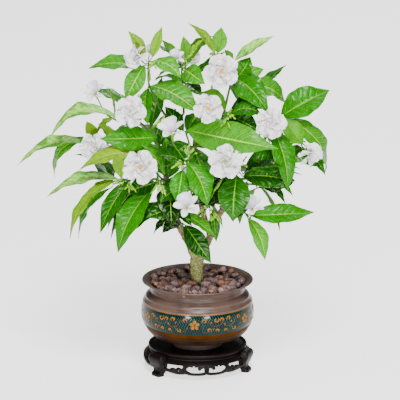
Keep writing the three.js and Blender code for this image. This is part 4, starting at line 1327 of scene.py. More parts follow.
SHOOTS = (
    Shoot([(-62, 318, 40), (-100, 342, 52), (-140, 352, 60), (-168, 356, 64)],
        leaves=[
            ((-170, 355, 64), (-285, 322, 48), 38, LEANING, 18, SILVER),
            ((-172, 366, 58), (-227, 302, 66), 28, LEFTWARD, 22, SOFT),
            ((-164, 354, 62), (-176, 391, 80), 20, UNDERSIDE, 6, LIME),
            ((-128, 352, 56), (-158, 388, 66), 18, UNDERSIDE, 8, FRESH)],
        flowers=[(DOUBLE, (-164, 350, 96), (-0.2, 0.95, 0.25), 0.88)]),
    Shoot([(-50, 290, 50), (-80, 296, 75), (-105, 299, 92), (-122, 299, 100)],
        leaves=[
            ((-124, 299, 102), (-239, 271, 90), 40, LEANING, 14, SILVER),
            ((-120, 301, 104), (-129, 342, 112), 20, UNDERSIDE, 5, FRESH),
            ((-132, 300, 98), (-180, 252, 106), 28, LEFTWARD, 10, LIME),
            ((-126, 298, 104), (-202, 203, 112), 34, LEFTWARD, 22, LIME),
            ((-106, 298, 98), (-154, 214, 128), 32, LEFT_FRONT, 10, MID)],
        buds=[(-129, 292, 112), (-108, 288, 112)]),
    Shoot([(-45, 335, 60), (-66, 358, 86), (-95, 380, 96), (-120, 394, 98)],
        leaves=[
            ((-122, 394, 98), (-234, 363, 96), 40, LEANING, 30, SILVER),
            ((-64, 366, 96), (-154, 363, 122), 44, HALF, 6, BRIGHT)],
        inner=[
            ((-58, 350, 72), (-124, 322, 64), 42, HALF, 8, SOFT),
            ((-60, 354, 74), (-34, 412, 62), 36, FRONT, 8, DEEP)],
        flowers=[(DOUBLE, (-106, 406, 128), (0.1, 0.95, 0.3), 0.96)],
        buds=[(-58, 390, 104)]),
    Shoot([(-40, 290, 60), (-56, 300, 88), (-68, 314, 104), (-76, 332, 110)],
        leaves=[
            ((-77, 336, 112), (-188, 313, 122), 38, TIPPED, 22, LIME),
            ((-52, 308, 114), (-89, 355, 128), 22, TIPPED, 5, SOFT),
            ((-70, 286, 110), (-126, 183, 130), 44, LEFT_FRONT, 14, BRIGHT),
            ((-50, 262, 96), (-109, 211, 124), 32, TIPPED, 12, DEEP),
            ((-66, 294, 108), (-112, 278, 96), 36, HALF, 6, DEEP),
            ((-78, 284, 90), (-138, 204, 100), 32, LEFTWARD, 12, DEEP)],
        inner=[
            ((-46, 302, 68), (-50, 366, 56), 44, FRONT, 6, BRIGHT),
            ((-42, 286, 70), (-40, 222, 66), 46, FRONT, 8, SHADE)],
        flowers=[(AMBER, (-90, 319, 152), (-0.1, 0.97, 0.2), 1.05)],
        buds=[(-64, 284, 124)]),
    Shoot([(-40, 385, 34), (-60, 415, 50), (-76, 447, 64), (-78, 470, 66), (-77, 486, 62)],
        leaves=[
            ((-74, 447, 68), (2, 403, 118), 52, TIPPED, 12, SOFT),
            ((-78, 444, 72), (-78, 385, 108), 27, LEFT_FRONT, 6, BRIGHT),
            ((-84, 490, 60), (-110, 534, 50), 20, UNDERSIDE, 4, LIME),
            ((-72, 492, 60), (-56, 541, 54), 18, UNDERSIDE, 4, LIME),
            ((-86, 476, 64), (-173, 475, 52), 36, TIPPED, 10, SOFT),
            ((-84, 480, 66), (-114, 422, 84), 32, FRONT, 4, SOFT),
            ((-79, 480, 72), (-79, 443, 88), 16, EDGEWISE, 3, LIME),
            ((-72, 486, 66), (-26, 459, 84), 34, TIPPED, 10, SOFT)],
        flowers=[(DOUBLE, (-96, 492, 74), (-0.6, 0.5, 0.6), 0.8), (STAR, (-76, 500, 34), (0.1, 0.6, 0.8), 0.5)],
        buds=[(-68, 480, 84)]),
    Shoot([(-75, 362, 16), (-110, 385, 28), (-138, 398, 34), (-150, 408, 38)],
        leaves=[
            ((-134, 396, 36), (-160, 372, 60), 20, UNDERSIDE, 4, FRESH),
            ((-132, 398, 36), (-143, 446, 44), 14, EDGEWISE, 3, LIME)],
        flowers=[(STAR, (-162, 434, 48), (-0.25, 0.7, 0.7), 0.85)]),
    Shoot([(-22, 405, 8), (-23, 440, 18), (-25, 470, 26), (-24, 486, 30)],
        leaves=[
            ((-30, 489, 30), (-57, 521, 26), 18, UNDERSIDE, 3, BRIGHT),
            ((-18, 490, 30), (-23, 527, 24), 18, UNDERSIDE, 3, SOFT),
            ((-14, 492, 28), (10, 522, 20), 12, TIPPED, 3, LIME),
            ((-20, 474, 32), (12, 450, 70), 34, FRONT, 6, SOFT),
            ((-18, 452, 28), (8, 430, 60), 24, TIPPED, 4, MID)],
        flowers=[(STAR, (-34, 490, 58), (0.1, 0.8, 0.6), 0.62)],
        buds=[(-12, 492, 44)]),
    Shoot([(18, 412, 10), (22, 440, 18), (28, 475, 26), (31, 496, 30)],
        leaves=[
            ((28, 498, 30), (-15, 547, 20), 18, UNDERSIDE, 6, LIME),
            ((32, 500, 30), (38, 541, 24), 26, UNDERSIDE, 3, SOFT)],
        flowers=[(AMBER, (38, 470, 84), (0, 0.97, 0.25), 1.05)],
        buds=[(26, 502, 48)]),
    Shoot([(42, 405, 0), (50, 440, 10), (57, 470, 20), (58, 486, 24)],
        leaves=[
            ((56, 488, 24), (43, 505, 30), 12, UNDERSIDE, 2, SOFT),
            ((59, 488, 24), (122, 527, 10), 22, TIPPED, 6, SILVER),
            ((64, 462, 22), (84, 494, 12), 30, FRONT, 2, BRIGHT),
            ((64, 458, 18), (106, 475, 4), 24, FRONT, 3, SOFT),
            ((59, 459, 40), (113, 404, 98), 46, HALF, 16, BRIGHT),
            ((78, 450, 6), (140, 420, -4), 40, RIGHTWARD, 16, SOFT)]),
    Shoot([(22, 370, 58), (34, 390, 84), (44, 402, 97)],
        leaves=[
            ((45, 405, 98), (-2, 433, 102), 26, UNDERSIDE, 20, BRIGHT),
            ((52, 402, 98), (102, 400, 106), 34, TIPPED, 12, MID),
            ((54, 398, 84), (98, 376, 96), 34, FRONT, 4, DEEP),
            ((50, 404, 78), (104, 410, 60), 34, TIPPED, 14, DEEP)],
        inner=[
            ((30, 382, 72), (6, 352, 60), 34, FRONT, 6, SHADE),
            ((34, 388, 76), (88, 360, 62), 36, HALF, 8, SHADE)],
        flowers=[(AMBER, (17, 411, 138), (0, 0.97, 0.25), 0.9)],
        buds=[(50, 402, 114), (46, 388, 122)]),
    Shoot([(64, 335, 20), (94, 366, 44), (120, 387, 60), (132, 396, 66)],
        leaves=[
            ((132, 399, 66), (210, 441, 40), 52, HALF, 10, BRIGHT),
            ((140, 397, 62), (202, 307, 54), 50, RIGHTWARD, 28, SOFT),
            ((136, 396, 72), (167, 354, 86), 34, (-0.5, -0.5, 0.6), 8, SOFT),
            ((116, 384, 84), (143, 281, 112), 40, RIGHT_FRONT, 14, BRIGHT)],
        flowers=[(DOUBLE, (116, 388, 116), (0, 0.98, 0.2), 0.95)],
        buds=[(106, 358, 104)]),
    Shoot([(70, 318, 14), (110, 338, 36), (145, 355, 52), (165, 360, 60)],
        leaves=[
            ((128, 342, 44), (199, 318, 52), 40, TIPPED, 8, SOFT),
            ((172, 352, 64), (203, 306, 70), 20, TIPPED, 6, MID)],
        flowers=[(DOUBLE, (177, 340, 94), (0.5, 0.75, -0.35), 0.85)],
        buds=[(170, 366, 78)]),
    Shoot([(-12, 290, 66), (-14, 308, 100), (-17, 326, 126)],
        leaves=[
            ((-16, 326, 130), (15, 257, 152), 44, RIGHT_FRONT, 8, BRIGHT),
            ((-24, 314, 124), (-33, 262, 142), 34, FRONT, 4, BRIGHT),
            ((-20, 322, 124), (-66, 336, 118), 32, TIPPED, 8, MID)],
        inner=[
            ((-12, 300, 78), (-62, 262, 66), 40, HALF, 6, MID)],
        flowers=[(STAR, (-40, 371, 152), (-0.1, 0.5, 0.85), 1)],
        buds=[(-35, 320, 146), (-12, 352, 140)]),
    Shoot([(-8, 330, 46), (-12, 352, 70), (-19, 375, 88)],
        leaves=[
            ((-17, 377, 92), (127, 347, 150), 60, HALF, 8, SOFT),
            ((-22, 376, 86), (-52, 415, 80), 28, TIPPED, 4, DEEP),
            ((-16, 372, 82), (10, 405, 66), 30, TIPPED, 8, MID),
            ((-8, 352, 70), (50, 345, 108), 34, UNDERSIDE, 6, SHADE)],
        inner=[
            ((-14, 356, 74), (-52, 320, 62), 38, HALF, 6, MID),
            ((-6, 350, 70), (16, 300, 66), 36, FRONT, 6, BRIGHT)]),
    Shoot([(22, 302, 56), (42, 312, 84), (62, 315, 104), (72, 318, 110)],
        leaves=[
            ((62, 306, 116), (56, 232, 142), 52, FRONT, 8, MID),
            ((72, 308, 108), (137, 318, 122), 36, LEANING, 8, DEEP),
            ((76, 320, 106), (142, 324, 96), 46, HALF, 10, MID),
            ((72, 304, 100), (142, 298, 86), 44, HALF, 6, MID)],
        inner=[
            ((34, 304, 74), (14, 256, 66), 36, FRONT, 6, SHADE),
            ((40, 306, 80), (70, 262, 70), 36, FRONT, 6, DEEP)],
        flowers=[(CREAM, (44, 327, 158), (0, 0.97, 0.25), 1.05)],
        buds=[(72, 325, 132), (36, 287, 132)]),
    Shoot([(-22, 262, 44), (-30, 262, 74), (-38, 257, 102)],
        leaves=[
            ((-36, 256, 108), (-9, 225, 122), 22, TIPPED, 3, DEEP),
            ((-24, 246, 100), (29, 207, 130), 24, TIPPED, 6, SOFT),
            ((-40, 254, 100), (-82, 238, 106), 38, HALF, 6, DEEP),
            ((-34, 250, 94), (-70, 212, 100), 22, LEANING, 5, SHADE)],
        flowers=[(STAR, (-17, 254, 156), (0, 0.8, 0.6), 0.95)],
        buds=[(-42, 250, 116)]),
    Shoot([(-26, 222, 24), (-27, 230, 44), (-22, 228, 64)],
        leaves=[
            ((-20, 227, 66), (22, 166, 92), 34, FRONT, 5, DEEP),
            ((-28, 230, 56), (-56, 214, 84), 24, TIPPED, 4, SHADE)]),
    Shoot([(28, 262, 26), (22, 262, 56), (18, 256, 84)],
        leaves=[
            ((20, 258, 86), (46, 277, 92), 26, TIPPED, 4, SHADE),
            ((14, 252, 88), (2, 230, 92), 26, LEANING, 4, DEEP),
            ((24, 250, 84), (30, 200, 96), 18, FRONT, 3, MID),
            ((16, 258, 78), (-22, 270, 72), 28, TIPPED, 4, DEEP)],
        buds=[(12, 252, 102), (30, 236, 98)]),
    Shoot([(36, 256, 24), (54, 254, 54), (68, 248, 76), (76, 246, 86)],
        leaves=[
            ((84, 242, 88), (186, 247, 70), 36, HALF, 6, BRIGHT),
            ((80, 238, 90), (107, 171, 96), 28, RIGHT_FRONT, 8, SOFT)],
        flowers=[(STAR, (86, 251, 122), (0.1, 0.6, 0.8), 0.85)]),
    Shoot([(56, 288, 18), (76, 292, 38), (94, 291, 52)],
        leaves=[
            ((98, 289, 54), (152, 273, 60), 30, LEANING, 14, BRIGHT),
            ((95, 286, 56), (140, 260, 66), 26, LEANING, 12, MID),
            ((96, 292, 50), (156, 298, 30), 38, HALF, 8, DEEP)],
        inner=[
            ((70, 292, 36), (60, 236, 40), 40, FRONT, 6, SHADE)]),
    Shoot([(-60, 362, -40), (-86, 386, -80), (-100, 398, -116)], fill=(3, 90, 118),
        flowers=[(DOUBLE, (-96, 412, -150), (-0.2, -0.9, 0.4), 1)]),
    Shoot([(-66, 300, -40), (-106, 300, -72), (-136, 292, -100)], fill=(3, 90, 112)),
    Shoot([(-12, 430, -40), (-16, 464, -62), (-20, 480, -84)], fill=(3, 66, 84),
        flowers=[(DOUBLE, (-20, 494, -112), (0, -0.8, 0.6), 0.95)]),
    Shoot([(44, 392, -40), (70, 410, -84), (84, 418, -120)], fill=(3, 90, 115),
        flowers=[(STAR, (92, 426, -150), (0.2, -0.8, 0.6), 0.9)]),
    Shoot([(64, 300, -30), (90, 300, -68), (102, 292, -102)], fill=(3, 78, 98)),
    Shoot([(-4, 290, -70), (-10, 286, -118), (-10, 274, -150)], fill=(3, 82, 100),
        flowers=[(STAR, (-10, 300, -176), (0, -0.95, 0.3), 1)]),
)


class Census:
    """Finds which of its possible bends each leaf of the frame's faceted shoots has."""

    REACH = 0.05
    LEAST = 0.3
    SURE = 0.85

    def __init__(self, node: str) -> None:
        """Reads a node's points.

        Args:
            node: Name of the frame's node.
        """
        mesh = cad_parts[node].data
        points = np.zeros(len(mesh.vertices) * 3, np.float32)
        mesh.vertices.foreach_get("co", points)
        self.tree = kdtree.KDTree(len(mesh.vertices))
        for k, point in enumerate(points.reshape(-1, 3) / MM - AXIS):
            self.tree.insert(point, k)
        self.tree.balance()

    def share(self, points: Points) -> float:
        """Returns the share of points that the node has, as near as the reach."""
        return float(np.mean([self.tree.find(point)[2] < self.REACH for point in points]))

    def found(self, leaf: Leaf) -> Leaf | None:
        """Finds a leaf in the node.

        Args:
            leaf: The leaf as surveyed.
        Returns:
            The leaf as the node has it, or None where it was left out.
        """
        best, score = None, self.LEAST
        for move in BENDS:
            bent = leaf.bent(move)
            share = self.share(bent.survey())
            if share > score:
                best, score = bent, share
            if share > self.SURE:
                break
        return best


class Crown:
    """The trunk with its limbs and twigs, and every leafy stem and bloom."""

    def __init__(self) -> None:
        """Numbers the blooms, buds and leaves as the frame's solids do, and finds each one's place."""
        numbers, indices = itertools.count(1), itertools.count(1)
        for number, shoot in enumerate(SHOOTS, 1):
            shoot.number = number
            shoot.blooms = [Bloom(kind, seen(spot), heading(facing), size, next(numbers))
                            for kind, spot, facing, size in shoot.flowers]
            shoot.clusters = [(seen(spot), next(indices), k) for spot in shoot.buds for k in range(BUDS_IN_A_CLUSTER)]
        census = {shoot.node: Census(shoot.node) for shoot in SHOOTS}
        for group in ("leaves", "inner"):
            for shoot in SHOOTS:
                for base, tip, width, facing, arch, tone in getattr(shoot, group):
                    leaf = Leaf(seen(base), seen(tip), width, heading(facing), arch, next(indices), tone)
                    self.place(shoot, census[shoot.node], leaf)
        for shoot in SHOOTS:
            for leaf in shoot.filled(indices):
                self.place(shoot, census[shoot.node], leaf)

    @staticmethod
    def place(shoot: Shoot, census: Census, leaf: Leaf) -> None:
        """Gives a shoot the leaf, if the frame's solids have it.

        Args:
            shoot: The shoot.
            census: Its node's points.
            leaf: The leaf as surveyed.
        """
        found = census.found(leaf)
        if found is None:
            LOG.warning("%s: leaf %d is not in the frame", shoot.node, leaf.index)
        else:
            shoot.grown.append(found)

    @staticmethod
    def wood(skin: Skin, limb: Limb) -> None:
        """Adds a woody limb with lumps and burls.

        Args:
            skin: The trunk's skin.
            limb: The limb.
        """
        line = spline(limb.line(), 16)
        skin.tube(line, spread(limb.radii, len(line)), limb.sides)
        body = skin.points[-1][:-2]
        middle = np.repeat(line, limb.sides, axis=0)
        growth = 1 + 0.13 * rough(body, 11.0, 3) + 0.035 * rough(body + 70, 3.6, 2)
        body[:] = middle + (body - middle) * growth[:, None]

    def build(self) -> None:
        """Makes every piece of the crown."""
        leaf, stem, bark = LeafFinish().material(), StemFinish().material(), BarkFinish().material()
        petal, stamen = PetalFinish().material(), StamenFinish().material()
        skin = Skin()
        for limb in LIMBS:
            self.wood(skin, limb)
        for shoot in SHOOTS:
            path = spline([shoot.root, (shoot.root + shoot.start) / 2 + TWIG_SAG, shoot.start], 6)
            skin.tube(path, np.linspace(TWIG_RADIUS * 1.15, STEM_RADIUS, len(path)), 10)
        piece = skin.make("trunk_bark", [bark], crease=80)
        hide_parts("trunk")
        for shoot in SHOOTS:
            shoot.build([leaf, stem])
            for bloom in shoot.blooms:
                bloom.build([petal, stem, stamen])


# ---- the pot
STAND_TOP = 38


class Coat(IntEnum):
    """Finish of a part of the pot, in the order of its material slots."""

    CLAY = 0
    GLAZE = 1
    GOLD = 2
    ORANGE = 3
    BROWN = 4
    INSIDE = 5
    FOOT = 6


COATS = {
    Coat.CLAY: ClayFinish("clay", (0.064, 0.0395, 0.031), (0.034, 0.021, 0.0165), 0.31, 1.0, 0.22),
    Coat.GLAZE: BandFinish(),
    Coat.GOLD: GoldFinish(),
    Coat.ORANGE: ClayFinish("orange_slip", (0.046, 0.0135, 0.0010), (0.019, 0.0058, 0.0005), 0.45, 0.5, 0.01),
    Coat.BROWN: ClayFinish("brown_slip", (0.019, 0.0080, 0.0031), (0.0085, 0.0036, 0.0013), 0.38, 1.0, 0.04),
    # Painted light: the inner wall's clay is a lighter, lit copy of the outer clay.
    Coat.INSIDE: ClayFinish("clay_inside_painted_light", (0.105, 0.070, 0.058), (0.065, 0.044, 0.037), 0.5, 0.6, 0.1),
    # The foot's own unglazed grey-brown clay, darkened further as painted shade under the pot.
    Coat.FOOT: ClayFinish("clay_foot_painted_shade", (0.028, 0.020, 0.0175), (0.017, 0.0125, 0.011), 0.4, 0.6, 0.1),
}


@dataclass
class Pot:
    """The thrown clay pot, its glazed band and the ornament on it.

    Heights are above the foot. The ridges are (height, size, width), and the commas (across, height, size, hand,
    way up). The spacing is the distance between flowers that the ornament's places across are drawn for.
    """

    outside: Sequence[Spot] = (
        (6, 4), (33, 4), (33.4, 0.4), (38, 0), (41, 0.4), (41.4, 3), (41, 8), (70.6, 17.5), (82, 29), (88.6, 43),
        (90, 55), (88.2, 71), (82, 84), (75, 89.5), (73.4, 95), (78, 102), (88.2, 106.4), (89, 107.6), (88.4, 108.5))
    inside: Sequence[Spot] = ((86, 108.3), (74.8, 101.8), (69.8, 95), (72, 87.5), (84, 70), (84.6, 52), (75, 29),
                              (58, 17), (6, 9), (6, 4))
    ridges: Sequence[tuple[float, float, float]] = (
        (91.3, 0.55, 2.0), (86.5, -0.5, 0.9), (83.1, 0.6, 1.1), (79.9, -0.45, 0.9), (75.2, 0.9, 1.2),
        (72.0, 0.35, 0.35), (37.0, 0.5, 1.4), (30.9, -0.7, 0.7), (27.0, 0.5, 1.3), (22.5, -0.4, 0.9), (100, 0.3, 1.2))
    ridges_from: float = 12.0
    foot_ends: int = 6
    neck: int = 14
    facets: int = 144
    band_low: float = 38.6
    band_high: float = 71.6
    line_high: float = 72.9
    ring_low: float = 31.6
    outer_from: float = 60.0
    bottom_high: float = 16.0
    bottom_reach: float = 66.0
    foot_high: float = 8.6
    foot_reach: float = 46.0
    wall: float = 1.6
    inner_floor: float = 18.0
    flowers: int = 6
    first_flower: float = -3.0
    flower_height: float = 56.5
    flower_size: float = 8.0
    spacing: float = 94.2
    section: Sequence[Spot] = ((-1, 0.02), (-0.5, 0.3), (0, 0.38), (0.5, 0.3), (1, 0.02), (0, -0.35))
    petal: tuple[Spot, Spot] = ((0.2, 0.42, 0.66, 0.9, 1.08), (0.10, 0.25, 0.35, 0.24))
    vines: Sequence[Sequence[Spot]] = (
        ((14, 57.25), (13, 46), (19, 43.5), (25, 46)),
        ((21, 65.5), (24, 58.25), (33, 54.25), (43, 56.25), (48, 62.5)),
        ((46, 58.25), (55, 52.25), (66, 55.25), (72, 64.5)),
        ((60, 54.25), (66, 46), (75, 44.5), (80, 48)))
    commas: Sequence[tuple[float, float, float, int, int]] = (
        (16, 62.5, 3.2, 1, 1), (24, 47.5, 2.8, -1, 1), (36, 64.7, 3.4, -1, -1), (46, 63.5, 2.6, 1, 1),
        (38, 46.2, 2.4, 1, 1), (58, 64, 3.0, 1, 1), (69, 48, 2.8, 1, -1), (78, 63, 2.8, -1, 1), (52, 45.6, 2.2, -1, 1))
    comma_curl: Sequence[Spot] = ((-0.9, -0.9), (-1.0, 0.1), (-0.35, 0.85), (0.5, 0.6), (0.55, -0.15), (0.05, -0.3))
    comma_widths: Spot = (0.12, 0.55, 1.1, 1.1, 0.8, 0.5)
    leaflets: Sequence[Spot] = ((27, 60.5), (50, 56.25), (63, 59.5), (82, 51.25), (31, 49.25))

    def radius(self, height: Points) -> Points:
        """Finds the outside radius.

        Args:
            height: Heights above the foot.
        Returns:
            The radius at each.
        """
        rows = self.profile()
        return np.interp(height, rows[:, 1], rows[:, 0])

    def profile(self) -> Points:
        """Draws the outside with its thrown ridges, from the drain hole to the lip.

        Returns:
            Radius and height of each of its points.
        """
        knots = np.array(self.outside, float)
        body, lip = knots[self.foot_ends:self.neck + 1], knots[self.neck:]
        rows = np.concatenate([knots[:self.foot_ends], spline(body, 14)[:-1], spline(lip, 8)])
        out = sum(size * np.exp(-((rows[:, 1] - level) / width) ** 2) for level, size, width in self.ridges)
        rows[:, 0] += np.where(rows[:, 1] > self.ridges_from, out, 0)
        return rows

    def finish_of(self, middles: Points) -> Points:
        """Chooses finishes by place.

        Args:
            middles: Radius and height of the middle of each face.
        Returns:
            The finish of each face.
        """
        radius, height = middles[:, 0], middles[:, 1] - STAND_TOP
        slots = np.full(len(middles), int(Coat.CLAY))
        outer = radius > self.outer_from
        slots[outer & (height > self.band_low) & (height < self.band_high)] = Coat.GLAZE
        slots[outer & (height >= self.band_high) & (height < self.line_high)] = Coat.GOLD
        slots[outer & (height <= self.band_low) & (height > self.ring_low)] = Coat.ORANGE
        slots[outer & (height <= self.ring_low)] = Coat.BROWN
        slots[(height < self.bottom_high) & (radius < self.bottom_reach)] = Coat.BROWN
        # The foot under the pot takes the grey clay with painted shade.
        slots[(height < self.foot_high) & (radius < self.foot_reach)] = Coat.FOOT
        lining = np.array(self.inside[::-1])
        inner = np.interp(height, lining[:, 1], lining[:, 0]) + self.wall
        # The inner wall takes the lighter clay with painted light.
        slots[(radius < inner) & (height > self.inner_floor)] = Coat.INSIDE
        return slots

    def on_band(self, angle: Points, height: Points, lift: float) -> Points:
        """Returns points on the pot's outside.

        Args:
            angle: Turns from the front towards +X, in radians.
            height: Heights above the foot.
            lift: Distance out of the surface.
        Returns:
            The points.
        """
        radius = self.radius(height) + lift
        return np.stack([radius * np.sin(angle), -radius * np.cos(angle), height + STAND_TOP], -1)

    def stroke(self, skin: Skin, spots: Sequence[Spot], widths: Sequence[float], steps: int) -> None:
        """Adds a raised enamel stroke to the band.

        Args:
            skin: The ornament's skin.
            spots: Its line as (millimetres round the band from the front, height above the foot).
            widths: Its half width at each spot.
            steps: Stretches between spots.
        """
        line = spline(np.array(spots, float), steps)
        half, square = spread(widths, len(line)), edged(line)
        rows = []
        for across, lift in self.section:
            flat = line + square * (half * across)[:, None]
            rows.append(self.on_band(flat[:, 0] / BAND_RADIUS, flat[:, 1], lift))
        points = np.stack(rows, 1).reshape(-1, 3)
        quads = grid_faces(len(line), 6, wrap=True)
        last = (len(line) - 1) * 6
        caps = [[0, 1, 2, 3], [0, 3, 4, 5], [last + 3, last + 2, last + 1, last], [last + 5, last + 4, last + 3, last]]
        skin.add(points, np.concatenate([quads[:, ::-1], caps]))

    def flower(self, skin: Skin, at: float) -> None:
        """Adds a five-petalled enamel flower.

        Args:
            skin: The ornament's skin.
            at: Its place round the band, in millimetres from the front.
        """
        size, height = self.flower_size, self.flower_height
        reaches, widths = self.petal
        for k in range(5):
            angle = 2 * math.pi * k / 5
            way = np.array([math.sin(angle), math.cos(angle)])
            spots = [np.array([at, height]) + way * size * reach for reach in reaches]
            self.stroke(skin, spots, [*[width * size for width in widths], 0.02], 4)
        heart = 0.09 * size
        self.stroke(skin, [(at - heart, height), (at, height), (at + heart, height)], [0.04, heart, 0.04], 4)

    def scrolls(self, skin: Skin, at: float, step: float) -> None:
        """Adds the vines, curled commas and leaflets between two flowers.

        Args:
            skin: The ornament's skin.
            at: Place of the first flower, in millimetres from the front.
            step: Distance to the next.
        """
        q = step / self.spacing
        for vine in self.vines:
            self.stroke(skin, [(at + x * q, y) for x, y in vine], [0.21] * len(vine), 7)
        for x, y, size, hand, tall in self.commas:
            spots = [(at + x * q + 1.25 * hand * size * a, y + 1.2 * tall * size * b) for a, b in self.comma_curl]
            self.stroke(skin, spots, self.comma_widths, 5)
        for x, y in self.leaflets:
            spots = [(at + x * q - 0.8, y - 1.6), (at + x * q, y), (at + x * q + 0.9, y + 1.9)]
            self.stroke(skin, spots, [0.15, 1.05, 0.1], 4)

    def build(self) -> None:
        """Makes the pot's piece and its ornament's."""
        finishes = [COATS[coat].material() for coat in Coat]
        knots = np.array(self.inside, float)
        rows = np.concatenate([self.profile(), spline(knots[:-2], 6), knots[-2:]]) + np.array([0, STAND_TOP])
        skin = Skin()
        skin.turned(rows, self.facets, self.finish_of)
        piece = skin.make("pot_body", finishes, crease=45)
        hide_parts("pot")
        ornament = Skin()
        step = 2 * math.pi * BAND_RADIUS / self.flowers
        for k in range(self.flowers):
            at = math.radians(self.first_flower) * BAND_RADIUS + k * step
            self.flower(ornament, at)
            self.scrolls(ornament, at, step)
        piece = ornament.make("pot_ornament", [finishes[Coat.GOLD]], crease=50)


@dataclass(frozen=True)
class Course:
    """Stones laid in rings of (radius, count), with the least and most that each stone draws."""

    rings: Sequence[tuple[float, int]]
    first: int
    seed: int
    jitter: float
    twist: int
    reach: tuple[float, float]
    rise: tuple[float, float]
    size: tuple[float, float]
    settle: float = 0


@dataclass
class Bed:
    """The lava stones over the soil, whose rings past the rim and the wall lie higher."""

    courses: Sequence[Course] = (
        Course(((21, 6), (39, 10), (57, 14)), 0, 300, 0.2, 1, (-1.5, 1.5), (-1, 1.6), (8.4, 10.4), -1.2),
        Course(((15.5, 6), (30, 12), (48, 21), (66, 27), (57, 18), (71, 29)), 600, 0, 0.3, 2, (-1.4, 0.8),
               (-3.2, 0.8), (5.6, 8.2)))
    top: float = STAND_TOP + 97
    rim: float = 60
    wall: float = 70
    rim_lift: float = 4.0
    wall_lift: float = 7.0
    rim_size: float = 0.76
    floor: Sequence[Spot] = ((0, -6.5), (68.2, -6.5), (68, -2.4), (50, -1.5), (12, -1.5), (0, -1.5))
    colours: Sequence[Colour] = ((0.160, 0.091, 0.080), (0.118, 0.072, 0.072), (0.190, 0.102, 0.087),
                                 (0.102, 0.064, 0.067), (0.200, 0.078, 0.046), (0.140, 0.080, 0.081),
                                 (0.165, 0.092, 0.084), (0.131, 0.079, 0.073), (0.173, 0.097, 0.093))

    def heap(self, reach: float) -> float:
        """Returns how much higher the stones lie at this distance from the trunk."""
        return 2.2 + 3.0 * math.cos(min(reach / 70, 1) * math.pi / 2)

    def ball(self, rows: int = 15, columns: int = 22) -> tuple[Points, Points]:
        """Makes a round grid.

        Args:
            rows: Rings from its top to its bottom.
            columns: Points in a ring.
        Returns:
            Its points and its faces.
        """
        lat = np.linspace(0.02, np.pi - 0.02, rows)
        lon = 2 * np.pi * np.arange(columns) / columns
        points = np.stack([np.outer(np.sin(lat), np.cos(lon)), np.outer(np.sin(lat), np.sin(lon)),
                           np.outer(np.cos(lat), np.ones(columns))], -1).reshape(-1, 3)
        return points, np.concatenate([grid_faces(rows, columns, wrap=True, flip=True),
                                       fan_faces(0, columns, flip=True), fan_faces((rows - 1) * columns, columns)])

    def stone(self, skin: Skin, at: Points, radius: float, index: int) -> None:
        """Adds one rough stone.

        Args:
            skin: The bed's skin.
            at: Its middle.
            radius: Its size.
            index: Number of its draws.
        """
        points, quads = self.ball()
        stretch = offset(index, 51, (0.82, 1.15), (0.82, 1.15), (0.7, 0.95))
        facets = np.zeros(len(points))
        for k in range(7):
            way = unit(offset(index, 60 + k, (-1, 1), (-1, 1), (-1, 1), step=10))
            facets = np.maximum(facets, points @ way - draw(0.55, 0.8, index, 90 + k))
        lumps = rough(points + index * 3.7, 0.62, 4)
        shape = points * (1 - 0.75 * facets + 0.14 * lumps)[:, None] * stretch
        a, b = draw(0, 3, index, 54), draw(0, 6, index, 55)
        turn_x = np.array([[1, 0, 0], [0, np.cos(a), -np.sin(a)], [0, np.sin(a), np.cos(a)]])
        turn_z = np.array([[np.cos(b), -np.sin(b), 0], [np.sin(b), np.cos(b), 0], [0, 0, 1]])
        colour = self.colours[int(draw(0, len(self.colours) - 0.01, index, 56))]
        lift = draw(0.8, 1.3, index, 57)
        skin.add(at + shape @ (turn_z @ turn_x).T * radius, quads, 0, None, (*[c * lift for c in colour], 1))

    def build(self) -> None:
        """Makes the stones' piece and finishes the soil under them."""
        skin = Skin()
        for course in self.courses:
            for row, (ring, count) in enumerate(course.rings):
                lift = self.wall_lift if ring > self.wall else self.rim_lift if ring > self.rim else course.settle
                share = self.rim_size if ring > self.rim else 1
                for k in range(count):
                    index = course.first + row * 40 + k
                    turn = 2 * np.pi * (k + draw(-course.jitter, course.jitter, index, 6)) / count + course.twist * row
                    reach = ring + draw(*course.reach, index, 7)
                    height = self.top + draw(*course.rise, index, 8) + lift + self.heap(ring)
                    at = np.array([reach * np.cos(turn), reach * np.sin(turn), height])
                    self.stone(skin, at, draw(*course.size, index, 58) * share, course.seed + index)
        skin.turned(np.array(self.floor) + np.array([0, self.top]), 64, 1)
        soil = SoilFinish().material()
        piece = skin.make("lava_stones", [StoneFinish().material(), soil], crease=55)
        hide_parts("pebbles")
        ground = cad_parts["soil"]
        ground.data.materials.clear()
        ground.data.materials.append(soil)


# ---- the stand
Carving = tuple[Sequence[Spot], Sequence[float]]


